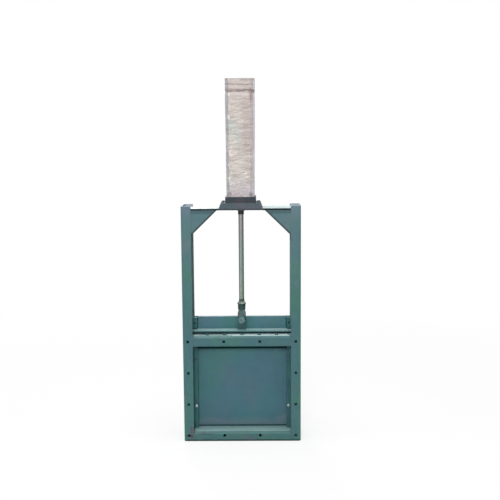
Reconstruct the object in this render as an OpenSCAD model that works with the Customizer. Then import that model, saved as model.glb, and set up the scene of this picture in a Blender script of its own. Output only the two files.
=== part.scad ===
// Sluice gate for a square passage: a welded frame of two bent channel posts carries a
// sliding gate plate, and an air cylinder on the frame's top plate lifts the gate.
// The origin is the centre of the rear flange's outer face. Heights are measured from the
// foot of the posts, and lift() sets that foot in its place below the origin.

/* [Frame] */
// Overall width across the posts
frame_w = 290; // [275:1:340]
// Width of a post's two flanges
post_flange_w = 24.5; // [22:0.5:26]
// Depth of the posts, from front to back
post_d = 80; // [76:1:100]
// Thickness of the bent channels and angles
wall = 4; // [3:0.5:4.5]
// Outside radius of their bends
bend_r = 6; // [5:0.5:8]
// Thickness of the rear flange plate
rear_flange_t = 5; // [4:0.5:8]
// Height of the front head bar
head_bar_h = 26; // [23:1:32]
// How far the head bar's ledge reaches back
head_ledge_d = 31; // [26:1:33]
// Height of the front sill bar
sill_h = 23.5; // [21:0.5:25]

/* [Passage and bolts] */
// Width of the clear passage
passage_w = 200; // [180:1:206]
// How far the bolted flange, front and rear, rises above the passage
head_h = 40.1; // [35.1:0.5:60.1]
// Wall of the square throat behind the gate
throat_wall = 4; // [2:0.5:6]
// Number of bolt holes along each edge of the flange
bolts_per_edge = 4; // [3:1:5]
// Distance of the outer holes from the frame's sides
bolt_edge_x = 12.5; // [11.5:0.25:13]
// Distance of the outer holes from the flange's top and foot
bolt_edge_z = 14.25; // [12:0.25:15]
// Diameter of the bolt holes
bolt_hole_d = 7; // [5:0.5:8]

/* [Gate and guides] */
// Distance from the front face back to the gate plate
gate_recess = 45; // [44:1:48]
// Thickness of the gate plate
gate_t = 5; // [4:0.5:6]
// How far the cylinder lifts the gate, which is also the passage's height
stroke = 200; // [160:1:260]
// Space between the gate's side edges and the posts
gate_side_gap = 5; // [5:0.5:8]
// Running clearance between the gate and its guides
guide_clearance = 0.4; // [0.3:0.05:0.6]
// Thickness of the front guide strips
guide_t = 12; // [10:0.5:13]
// Width of the front guide strips
guide_w = 30; // [26:0.5:32]
// Space between the front guides' top and the carrier
guide_top_gap = 9; // [6:1:20]
// Thickness of the rear guides and seat strips
seat_t = 8; // [6:0.5:10]
// Height of the seat strips above and below the passage
seat_strip_h = 20; // [14:1:22]
// How far the rear guides rise above the flange
rear_guide_rise = 34; // [20:1:60]
// Height of the soft seal that the gate's lower edge closes on
sill_seal_h = 3.1; // [2:0.1:4]
// Height of the packing behind the gate at the head
packing_h = 10; // [8:0.5:12]
// Height of the packing that hangs behind the head bar, in front of the gate
front_packing_h = 34; // [20:0.5:35]

/* [Gate carrier] */
// Space between the head bar's ledge and the carrier
carrier_gap = 5; // [5:0.5:8]
// Height of the carrier angle
carrier_h = 36; // [32:1:40]
// Depth of the carrier angle's ledge
carrier_d = 25; // [24:0.5:26]
// Width of the drilled shoe at each end of the carrier
shoe_w = 25; // [16:0.5:26]
// Space between a shoe and the carrier's upright leg
shoe_gap = 1.5; // [1:0.5:12]
// Depth of a shoe
shoe_d = 10; // [6:0.5:14]
// How far a shoe ends below the gate's upper edge
shoe_drop = 2; // [0:0.5:8]
// Diameter of the clevis pin
pin_d = 8; // [6:0.5:9]
// Width of the clevis
clevis_w = 20; // [18:0.5:22]
// Depth of the clevis along the pin
clevis_d = 18; // [16:0.5:18]
// Thickness of the lug between the clevis's ears
lug_t = 7; // [5:0.5:8]
// Height of the pin above the carrier's ledge
pin_rise = 26.5; // [20:0.5:28]
// Height of the clevis above its pin
clevis_rise = 25.5; // [22:0.5:28]
// Height of the coupling on the clevis
coupling_h = 20.5; // [18:0.5:24]
// Largest diameter of the coupling, at its collar
coupling_d = 21.5; // [20:0.5:24]

/* [Yoke] */
// Space left between the lifted coupling and the rod's bush
lift_room = 15.5; // [8:0.5:80]
// Thickness of the top plate
top_plate_t = 4; // [4:0.5:8]
// How far the posts rise above the top plate
post_rise = 6; // [4:0.5:12]
// Width of a corner gusset
gusset_w = 62.5; // [40:0.5:66]
// Height of a corner gusset
gusset_h = 61; // [40:0.5:61]

/* [Cylinder] */
// Bore of the cylinder
bore_d = 63; // [60:0.5:64]
// Wall of the cylinder's barrel
barrel_wall = 1.5; // [1:0.25:2.5]
// Width of the mounting foot across its ears
foot_w = 106; // [100:1:112]
// Thickness of the mounting foot
foot_t = 14; // [10:1:18]
// How far the foot's ends slope in towards its top
foot_slope = 5; // [2:0.5:6]
// Diameter of the foot's bolt holes
foot_hole_d = 5.5; // [4:0.5:6]
// Width of the front cap
front_cap_w = 74; // [73:0.5:78]
// Height of the front cap
front_cap_h = 14; // [12:1:20]
// Width of the rear cap
rear_cap_w = 69; // [68:0.5:76]
// Height of the rear cap
rear_cap_h = 27; // [24:1:32]
// Diameter of the piston rod
rod_d = 12.5; // [10:0.5:14]
// Diameter of the four tie rods
tie_rod_d = 8; // [6:0.5:8]
// Distance of the tie rods' axes from the rear cap's sides
tie_rod_inset = 6.5; // [6:0.25:7]
// Height of the piston
piston_h = 34; // [28:1:36]
// Diameter of the air ports
port_d = 9; // [6:0.5:10]
// Depth of the air ports
port_depth = 12; // [8:0.5:14]
// Thickness of the protective film
film_t = 0.5; // [0.4:0.1:0.8]

/* [Hidden] */
$fn = 64;

// Clearances
seal_gap = 0.3;
packing_side_gap = 0.3;
slot_clearance = 0.3;
running_clearance = 0.1;
press_clearance = 0.05;
film_gap = 0.3;
clevis_gap = 2;
piston_end_gap = 8;
piston_top_gap = 10;

// Depths: the rear flange's outer face is at y = 0 and the front face lies towards -Y
frame_d = post_d + rear_flange_t;
front_y = -frame_d;
post_rear_y = -rear_flange_t;
gate_front_y = front_y + gate_recess;
gate_rear_y = gate_front_y + gate_t;
guide_rear_y = gate_front_y - guide_clearance;
guide_front_y = guide_rear_y - guide_t;
seat_front_y = gate_rear_y + guide_clearance;
seat_rear_y = seat_front_y + seat_t;
ledge_rear_y = front_y + head_ledge_d;
packing_hold = wall;

// The rod's axis stands clear in front of the carrier's upright leg
axis_y = gate_front_y - wall - clevis_gap - clevis_d / 2;

// Widths
web_x = frame_w / 2 - wall;
flange_x = frame_w / 2 - post_flange_w;
gate_w = 2 * (web_x - gate_side_gap);
guide_x = web_x - guide_w;
packing_w = 2 * (guide_x - packing_side_gap);
rear_packing_w = passage_w - 2 * packing_side_gap;
carrier_leg_l = gate_w - 2 * (shoe_w + shoe_gap);
plate_corner = bend_r - wall + 1;

// The rod's bush: a neck through the plate, foot and cap, a collar and a nose below the plate
bush_d = 18;
bush_collar_d = 19;
bush_collar_h = 3;
bush_nose_d = 14.5;
bush_nose_h = 9;

// Heights above the posts' foot
gate_z = sill_h + sill_seal_h + seal_gap;
passage_z = gate_z;
passage_h = stroke;
flange_h = passage_z + passage_h + head_h;
carrier_z = flange_h + carrier_gap;
gate_top_z = carrier_z + carrier_h;
ledge_z = carrier_z + wall;
guide_top_z = carrier_z - guide_top_gap;
rear_guide_top_z = flange_h + rear_guide_rise;
pin_z = ledge_z + pin_rise;
clevis_top_z = pin_z + clevis_rise;
rod_end_z = clevis_top_z - clevis_rise / 3;
plate_z = clevis_top_z + coupling_h + stroke + lift_room + bush_nose_h + bush_collar_h;
plate_top_z = plate_z + top_plate_t;
post_h = plate_top_z + post_rise;
foot_top_z = plate_top_z + foot_t;
barrel_z = foot_top_z + front_cap_h;
barrel_l = piston_end_gap + piston_h + stroke + piston_top_gap;
barrel_top_z = barrel_z + barrel_l;
piston_z = barrel_z + piston_end_gap;

// Cut corners of the cylinder's caps, and the film's round corners
front_cap_chamfer = 3;
rear_cap_chamfer = 8;
film_corner_r = 6;
tie_rod_pitch = rear_cap_w - 2 * tie_rod_inset;
foot_d = front_cap_w + 1;

// The clevis's neck, the coupling's collar and the shoes' holes
clevis_neck_inset = 2;
clevis_neck_h = 5;
coupling_draft = 1.6;
collar_rise = 1.2;
collar_band_h = 1.7;
collar_chamfer_h = 4.8;
shoe_hole_inset = 6;

// Sets the foot of the posts below the origin, which is the flange's centre
module lift(z = 0) {
    translate([0, 0, z - flange_h / 2]) children();
}

// Puts a part of the cylinder or rod on its axis
module on_axis(z) {
    lift(z) translate([0, axis_y, 0]) children();
}

// A box between two corners, with heights measured from the foot of the posts
module block(low, high) {
    lift() translate(low) cube(high - low);
}

// Draws the left piece where it is, or its mirror image on the right
module on_side(side) {
    mirror([side == "right" ? 1 : 0, 0, 0]) children();
}

// Places of the holes along one direction, about the flange's centre
function row(span) = [for (i = [0 : bolts_per_edge - 1]) span * (i / (bolts_per_edge - 1) - 0.5)];

// Cuts the flange's ring of holes through everything between two depths
module bolt_holes(y_low, y_high) {
    last = bolts_per_edge - 1;
    xs = row(frame_w - 2 * bolt_edge_x);
    zs = row(flange_h - 2 * bolt_edge_z);
    for (i = [0 : last], k = [0 : last])
        if (i == 0 || i == last || k == 0 || k == last)
            translate([xs[i], y_low - 1, zs[k]]) rotate([-90, 0, 0])
                cylinder(d = bolt_hole_d, h = y_high - y_low + 2, $fn = 32);
}

// An angle bent from plate: one leg along +x, one along +y, and the bend at the corner
module angle_outline(leg_x, leg_y) {
    translate([bend_r, 0]) square([leg_x - bend_r, wall]);
    translate([0, bend_r]) square([wall, leg_y - bend_r]);
    intersection() {
        square(bend_r);
        translate([bend_r, bend_r]) difference() {
            circle(bend_r);
            circle(bend_r - wall);
        }
    }
}

// A bar of that angle across the frame: its corner faces the front and the given direction
module cross_angle(length, y, z, depth, height, corner) {
    flip = corner == "top" ? 1 : 0;
    translate([-length / 2, 0, 0]) lift(z) translate([0, y, 0]) rotate([90, 0, 90])
        linear_extrude(length) mirror([0, flip, 0]) angle_outline(depth, height);
}

// A channel bent from plate, open towards the frame's middle
module post(side) {
    color("cadetblue") difference() {
        on_side(side) lift() linear_extrude(post_h) translate([-frame_w / 2, front_y]) {
            angle_outline(post_flange_w, post_d - bend_r);
            translate([0, post_d]) mirror([0, 1])
                angle_outline(post_flange_w, post_d - bend_r);
        }
        bolt_holes(front_y, post_rear_y);
    }
}

// The angle across the front above the passage, with its ledge at the top
module head_bar() {
    color("cadetblue") difference() {
        cross_angle(2 * flange_x, front_y, flange_h, head_ledge_d, head_bar_h, "top");
        bolt_holes(front_y, front_y + wall);
    }
}

// The angle across the front below the passage, whose ledge reaches back under the gate
module sill_bar() {
    color("cadetblue") difference() {
        cross_angle(2 * flange_x, front_y, sill_h, gate_rear_y - front_y, sill_h, "top");
        bolt_holes(front_y, front_y + wall);
    }
}

// A plate between the posts' webs, notched round their flanges, with its corners cut to clear
// the bends
module notched_plate(z, thickness, front_tongue) {
    tongue_y = front_tongue ? front_y : front_y + wall;
    lift(z) linear_extrude(thickness) {
        translate([-flange_x, tongue_y]) square([2 * flange_x, post_rear_y - tongue_y]);
        polygon([
            [-web_x + plate_corner, front_y + wall], [web_x - plate_corner, front_y + wall],
            [web_x, front_y + wall + plate_corner], [web_x, post_rear_y - wall - plate_corner],
            [web_x - plate_corner, post_rear_y - wall], [-web_x + plate_corner, post_rear_y - wall],
            [-web_x, post_rear_y - wall - plate_corner], [-web_x, front_y + wall + plate_corner]
        ]);
    }
}

module bottom_plate() {
    color("cadetblue") notched_plate(0, wall, false);
}

// The plate that closes the passage's frame behind the posts, with its square opening
module rear_flange() {
    color("cadetblue") difference() {
        block([-frame_w / 2, post_rear_y, 0], [frame_w / 2, 0, flange_h]);
        block([-passage_w / 2, post_rear_y - 1, passage_z],
              [passage_w / 2, 1, passage_z + passage_h]);
        bolt_holes(post_rear_y, 0);
    }
}

// The square tube between the seat strips and the rear flange
module throat() {
    outer = passage_w + 2 * throat_wall;
    color("cadetblue") difference() {
        block([-outer / 2, seat_rear_y, passage_z - throat_wall],
              [outer / 2, post_rear_y, passage_z + passage_h + throat_wall]);
        block([-passage_w / 2, seat_rear_y - 1, passage_z],
              [passage_w / 2, post_rear_y + 1, passage_z + passage_h]);
    }
}

module rear_head_bar() {
    color("cadetblue")
        block([-flange_x, seat_rear_y, flange_h - wall], [flange_x, post_rear_y, flange_h]);
}

// The strips that close the slot at the head, in front of and behind the gate
module front_packing() {
    color("dimgray")
        block([-packing_w / 2, ledge_rear_y - packing_hold, flange_h - wall - front_packing_h],
              [packing_w / 2, guide_rear_y, flange_h - wall]);
}

module rear_packing() {
    color("dimgray")
        block([-rear_packing_w / 2, seat_front_y, flange_h - wall - packing_h],
              [rear_packing_w / 2, seat_rear_y + packing_hold, flange_h - wall]);
}

module sill_seal() {
    color("dimgray")
        block([-flange_x, gate_front_y, sill_h], [flange_x, gate_rear_y, sill_h + sill_seal_h]);
}

// A strip of the seat, above or below the passage
module seat_strip(z) {
    color("gainsboro")
        block([-passage_w / 2, seat_front_y, z], [passage_w / 2, seat_rear_y, z + seat_strip_h]);
}

module guide(side) {
    color("slategray") on_side(side)
        block([-web_x, guide_front_y, sill_h], [-guide_x, guide_rear_y, guide_top_z]);
}

module rear_guide(side) {
    color("gainsboro") on_side(side)
        block([-web_x, seat_front_y, wall], [-passage_w / 2, seat_rear_y, rear_guide_top_z]);
}

// The plate that carries the cylinder, with holes for the rod's bush and the foot's bolts
module top_plate() {
    color("cadetblue") difference() {
        notched_plate(plate_z, top_plate_t, true);
        on_axis(plate_z - 1) cylinder(d = bush_d + 2 * press_clearance, h = top_plate_t + 2);
        foot_holes(plate_z, top_plate_t);
    }
}

// A triangle in the corner between a post's flange and the top plate
module gusset(side, y) {
    color("cadetblue") on_side(side) lift(plate_z) translate([-flange_x, y + wall, 0])
        rotate([90, 0, 0]) linear_extrude(wall) polygon([[0, 0], [gusset_w, 0], [0, -gusset_h]]);
}

// The four bolt holes in the ears of the cylinder's foot
module foot_holes(z, height) {
    ear_x = (front_cap_w / 2 + foot_w / 2 - foot_slope) / 2 + 1;
    ear_y = front_cap_w / 4;
    for (x = [-ear_x, ear_x], y = [-ear_y, ear_y])
        on_axis(z - 1) translate([x, y, 0]) cylinder(d = foot_hole_d, h = height + 2, $fn = 32);
}

// The cylinder's mounting foot: its ends slope in towards the top
module cylinder_foot() {
    color("darkslategray") difference() {
        on_axis(plate_top_z) translate([0, foot_d / 2, 0]) rotate([90, 0, 0])
            linear_extrude(foot_d) polygon([
                [-foot_w / 2, 0], [foot_w / 2, 0],
                [foot_w / 2 - foot_slope, foot_t], [-foot_w / 2 + foot_slope, foot_t]
            ]);
        on_axis(plate_top_z - 1) cylinder(d = bush_d + 2 * press_clearance, h = foot_t + 2);
        foot_holes(plate_top_z, foot_t);
    }
}

// A square outline with cut corners
module cap_outline(width, chamfer) {
    half = width / 2;
    inner = half - chamfer;
    polygon([
        [-half, -inner], [-inner, -half], [inner, -half], [half, -inner],
        [half, inner], [inner, half], [-inner, half], [-half, inner]
    ]);
}

// A blind air port in the rear side of a cap
module port(cap_w, z) {
    on_axis(z) translate([0, cap_w / 2 + 1, 0]) rotate([90, 0, 0])
        cylinder(d = port_d, h = port_depth + 1);
}

module front_cap() {
    color("darkslategray") difference() {
        on_axis(foot_top_z) linear_extrude(front_cap_h) cap_outline(front_cap_w, front_cap_chamfer);
        on_axis(foot_top_z - 1) cylinder(d = bush_d + 2 * press_clearance, h = front_cap_h + 2);
        port(front_cap_w, foot_top_z + front_cap_h / 2);
    }
}

module rear_cap() {
    color("darkslategray") difference() {
        on_axis(barrel_top_z) linear_extrude(rear_cap_h) cap_outline(rear_cap_w, rear_cap_chamfer);
        port(rear_cap_w, barrel_top_z + rear_cap_h / 2);
    }
}

module rod_bush() {
    color("black") difference() {
        union() {
            on_axis(plate_z) cylinder(d = bush_d, h = barrel_z - plate_z);
            on_axis(plate_z - bush_collar_h) cylinder(d = bush_collar_d, h = bush_collar_h);
            on_axis(plate_z - bush_collar_h - bush_nose_h)
                cylinder(d = bush_nose_d, h = bush_nose_h);
        }
        on_axis(plate_z - bush_collar_h - bush_nose_h - 1)
            cylinder(d = rod_d + 2 * running_clearance,
                     h = barrel_z - plate_z + bush_collar_h + bush_nose_h + 2);
    }
}

module barrel() {
    color("silver") on_axis(barrel_z) difference() {
        cylinder(d = bore_d + 2 * barrel_wall, h = barrel_l, $fn = 96);
        translate([0, 0, -1]) cylinder(d = bore_d, h = barrel_l + 2, $fn = 96);
    }
}

module tie_rods() {
    at = tie_rod_pitch / 2;
    color("silver") for (x = [-at, at], y = [-at, at])
        on_axis(barrel_z) translate([x, y, 0]) cylinder(d = tie_rod_d, h = barrel_l, $fn = 32);
}

// A square outline with round corners, for the film
module film_outline(width) {
    at = width / 2 - film_corner_r;
    hull() for (x = [-at, at], y = [-at, at])
        translate([x, y]) circle(r = film_corner_r, $fn = 32);
}

// The solid inside the film, grown by some thickness: it widens from the barrel to the cap
module film_body(grow, top) {
    low_w = max(tie_rod_pitch + tie_rod_d, bore_d + 2 * barrel_wall) + 2 * (film_gap + grow);
    high_w = rear_cap_w + 2 * (film_gap + grow);
    hull() {
        linear_extrude(0.1) film_outline(low_w);
        translate([0, 0, barrel_l - 2]) linear_extrude(top - barrel_l + 2) film_outline(high_w);
    }
}

// Protective film, still round the cylinder as delivered
module film_wrap() {
    top = barrel_l + rear_cap_h;
    color("antiquewhite") on_axis(barrel_z + film_gap) difference() {
        film_body(film_t, top + film_t);
        translate([0, 0, -0.1]) film_body(0, top + 0.1);
    }
}

module gate_plate() {
    color("cadetblue")
        block([-gate_w / 2, gate_front_y, gate_z], [gate_w / 2, gate_rear_y, gate_top_z]);
}

// The angle on the gate: a ledge as wide as the gate and a shorter upright leg
module carrier_angle() {
    color("cadetblue") translate([0, 2 * gate_front_y, 0]) mirror([0, 1, 0]) difference() {
        cross_angle(gate_w, gate_front_y, carrier_z, carrier_d, carrier_h, "foot");
        for (side = ["left", "right"]) on_side(side)
            block([-gate_w / 2 - 1, gate_front_y - 1, ledge_z + bend_r - wall],
                  [-carrier_leg_l / 2, gate_front_y + bend_r, gate_top_z + 1]);
    }
}

// A drilled shoe on the gate, beside the carrier's upright leg and on its ledge's end
module gate_shoe(side) {
    foot_z = ledge_z + bend_r - wall;
    top_z = gate_top_z - shoe_drop;
    color("darkslategray") on_side(side) difference() {
        block([-gate_w / 2, gate_front_y - shoe_d, foot_z], [-gate_w / 2 + shoe_w, gate_front_y, top_z]);
        lift((foot_z + top_z) / 2) translate([-gate_w / 2 + shoe_w - shoe_hole_inset, gate_front_y, 0])
            rotate([90, 0, 0]) translate([0, 0, -1]) cylinder(d = pin_d / 2, h = shoe_d + 2);
    }
}

// A bore for the clevis pin
module pin_bore() {
    on_axis(pin_z) rotate([90, 0, 0])
        cylinder(d = pin_d + 2 * running_clearance, h = 2 * clevis_d, center = true);
}

// The eye plate on the carrier's ledge, round above its pin
module lug() {
    lug_w = clevis_w - 1.5;
    color("cadetblue") difference() {
        on_axis(pin_z) rotate([90, 0, 0]) translate([0, 0, -lug_t / 2]) linear_extrude(lug_t) {
            circle(d = lug_w);
            translate([-lug_w / 2, -pin_rise]) square([lug_w, pin_rise]);
        }
        pin_bore();
    }
}

// The fork that the pin joins to the lug, round below its pin, with a socket for the rod in its neck
module clevis() {
    slot = lug_t + 2 * slot_clearance;
    shoulder = clevis_w / 2;
    neck = shoulder - clevis_neck_inset;
    neck_z = clevis_rise - clevis_neck_h;
    shoulder_z = neck_z - 1.5 * clevis_neck_inset;
    color("slategray") difference() {
        on_axis(pin_z) rotate([90, 0, 0]) translate([0, 0, -clevis_d / 2])
            linear_extrude(clevis_d) {
                circle(d = clevis_w);
                polygon([
                    [-shoulder, 0], [shoulder, 0], [shoulder, shoulder_z], [neck, neck_z],
                    [neck, clevis_rise], [-neck, clevis_rise], [-neck, neck_z], [-shoulder, shoulder_z]
                ]);
            }
        on_axis(pin_z - clevis_w) translate([-clevis_w, -slot / 2, 0])
            cube([2 * clevis_w, slot, 1.5 * clevis_w + 1]);
        pin_bore();
        on_axis(rod_end_z) cylinder(d = rod_d, h = clevis_rise);
    }
}

module clevis_pin() {
    head_t = pin_d / 2;
    head_w = 2 * pin_d;
    tail = 1.5;
    color("lightslategray") on_axis(pin_z) rotate([-90, 0, 0])
        translate([0, 0, -clevis_d / 2 - head_t]) {
            cylinder(d = pin_d, h = head_t + clevis_d + tail);
            rotate([0, 0, 30]) cylinder(d = head_w / cos(30), h = head_t, $fn = 6);
        }
}

// The coupling that locks the rod to the clevis: a tapered body with a chamfered collar
module coupling() {
    inner_r = rod_d / 2 + press_clearance;
    outer_r = coupling_d / 2;
    chamfer_z = coupling_h - collar_chamfer_h;
    collar_z = chamfer_z - collar_band_h;
    color("darkslategray") on_axis(clevis_top_z) rotate_extrude() polygon([
        [inner_r, 0], [outer_r - coupling_draft, 0], [outer_r - collar_rise, collar_z - collar_rise],
        [outer_r, collar_z], [outer_r, chamfer_z], [inner_r + 1, coupling_h], [inner_r, coupling_h]
    ]);
}

module piston_rod() {
    color("darkgray") on_axis(rod_end_z) cylinder(d = rod_d, h = piston_z - rod_end_z);
}

module piston() {
    color("silver") on_axis(piston_z)
        cylinder(d = bore_d - 2 * running_clearance, h = piston_h, $fn = 96);
}

post("left");  // post_left
post("right");  // post_right
head_bar();
sill_bar();
bottom_plate();
rear_flange();
throat();
rear_head_bar();
front_packing();
rear_packing();
sill_seal();
seat_strip(passage_z + passage_h);  // seat_head
seat_strip(passage_z - seat_strip_h);  // seat_sill
guide("left");  // guide_left
guide("right");  // guide_right
rear_guide("left");  // rear_guide_left
rear_guide("right");  // rear_guide_right
top_plate();
gusset("left", front_y);  // gusset_front_left
gusset("right", front_y);  // gusset_front_right
gusset("left", post_rear_y - wall);  // gusset_rear_left
gusset("right", post_rear_y - wall);  // gusset_rear_right
cylinder_foot();
front_cap();
rod_bush();
barrel();
tie_rods();
rear_cap();
film_wrap();
gate_plate();
carrier_angle();
gate_shoe("left");  // gate_shoe_left
gate_shoe("right");  // gate_shoe_right
lug();
clevis();
clevis_pin();
coupling();
piston_rod();
piston();
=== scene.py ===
"""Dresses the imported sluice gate: its paint, fasteners, welds, threads and the cylinder's film.

Places are in metres in the part's own frame. The front face looks towards -Y, the gate
slides along +Z, and the origin is the centre of the rear flange's outer face.
"""

import logging
import math
from collections.abc import Callable, Iterator, Mapping, Sequence
from contextlib import contextmanager
from dataclasses import dataclass, replace
from enum import Enum

import bmesh
import bpy
from mathutils import Matrix, Vector


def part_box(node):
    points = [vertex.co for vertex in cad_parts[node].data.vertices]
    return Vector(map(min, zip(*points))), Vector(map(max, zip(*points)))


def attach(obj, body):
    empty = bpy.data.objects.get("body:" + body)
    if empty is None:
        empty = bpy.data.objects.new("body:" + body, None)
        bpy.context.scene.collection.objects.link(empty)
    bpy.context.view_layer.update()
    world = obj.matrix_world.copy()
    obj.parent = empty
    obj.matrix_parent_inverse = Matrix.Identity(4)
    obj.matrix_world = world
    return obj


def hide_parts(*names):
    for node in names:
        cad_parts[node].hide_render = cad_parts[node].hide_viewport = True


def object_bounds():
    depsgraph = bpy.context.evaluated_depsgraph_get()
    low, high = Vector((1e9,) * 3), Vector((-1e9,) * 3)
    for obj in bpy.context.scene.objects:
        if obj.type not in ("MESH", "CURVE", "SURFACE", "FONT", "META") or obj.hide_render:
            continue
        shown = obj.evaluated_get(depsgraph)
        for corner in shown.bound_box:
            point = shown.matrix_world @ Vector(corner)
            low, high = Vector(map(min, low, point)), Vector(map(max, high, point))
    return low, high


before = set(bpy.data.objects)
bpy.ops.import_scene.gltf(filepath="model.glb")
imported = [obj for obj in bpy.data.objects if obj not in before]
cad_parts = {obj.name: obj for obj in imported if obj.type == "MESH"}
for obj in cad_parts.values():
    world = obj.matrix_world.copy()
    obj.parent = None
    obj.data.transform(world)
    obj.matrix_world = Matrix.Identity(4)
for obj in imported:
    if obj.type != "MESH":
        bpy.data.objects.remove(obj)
CAD_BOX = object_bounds()

LOG = logging.getLogger("sluice_gate")

MM = 0.001
TINY = 1e-6

# Corners of the round forms, from the coarsest to the finest
HEXAGON = 6
BEAD_CORNERS = 10
THREAD_CORNERS = 20
DRUM_CORNERS = 32
CHAMFER_CORNERS = 48

# Rays that each point sends out for the masks of edges and corners
PROBES = 6
# Up to this angle between two faces, in degrees, their edge is shaded smooth
SMOOTH_ANGLE = 40
# The studio's white, with its alpha
WHITE = (1, 1, 1, 1)

Colour = tuple[float, float, float, float]
Element = bmesh.types.BMVert | bmesh.types.BMEdge | bmesh.types.BMFace


def srgb(red: int, green: int, blue: int) -> Colour:
    """The linear colour of a display colour from 0 to 255.

    Args:
        red: Red as shown.
        green: Green as shown.
        blue: Blue as shown.

    Returns:
        Linear red, green and blue, and an alpha of 1.
    """
    def linear(shown: int) -> float:
        """One channel, by the display curve."""
        part = shown / 255
        return part / 12.92 if part <= 0.04045 else ((part + 0.055) / 1.055) ** 2.4

    return linear(red), linear(green), linear(blue), 1.0


class Value:
    """A number inside a shader: a sum written on it adds Math nodes."""

    def __init__(self, shader: "Shader", socket: bpy.types.NodeSocket) -> None:
        """Wraps the socket of that shader."""
        self.shader = shader
        self.socket = socket

    def __add__(self, other: "Number") -> "Value":
        """This plus other."""
        return self.shader.math("ADD", self, other)

    __radd__ = __add__

    def __mul__(self, other: "Number") -> "Value":
        """This times other."""
        return self.shader.math("MULTIPLY", self, other)

    __rmul__ = __mul__

    def __sub__(self, other: "Number") -> "Value":
        """This less other."""
        return self.shader.math("SUBTRACT", self, other)

    def __rsub__(self, other: "Number") -> "Value":
        """Other less this."""
        return self.shader.math("SUBTRACT", other, self)

    def __abs__(self) -> "Value":
        """This without its sign."""
        return self.shader.math("ABSOLUTE", self)

    def ramp(self, low: float, high: float) -> "Value":
        """Rises smoothly from 0 at low to 1 at high.

        Args:
            low: Where the rise starts.
            high: Where it ends; below low, the value falls instead.

        Returns:
            A value from 0 to 1.
        """
        node = self.shader.node("ShaderNodeMapRange", {"interpolation_type": "SMOOTHSTEP"},
                                {"Value": self, "From Min": min(low, high), "From Max": max(low, high),
                                 "To Min": float(low > high), "To Max": float(low <= high)})
        return Value(self.shader, node.outputs[0])

    def band(self, middle: "Number", reach: float, core: float) -> "Value":
        """1 close to a middle, and 0 away from it.

        Args:
            middle: Where the band is.
            reach: How far from there it ends.
            core: How far from there it is still full.

        Returns:
            A value from 0 to 1.
        """
        return abs(self - middle).ramp(reach, core)

    def sway(self, reach: float) -> "Value":
        """A noise around 0.5 turned into a swing round 0, as wide as the reach."""
        return (self - 0.5) * reach


Number = Value | float | int
Input = Value | bpy.types.NodeSocket | float | int | Sequence[float]


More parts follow.
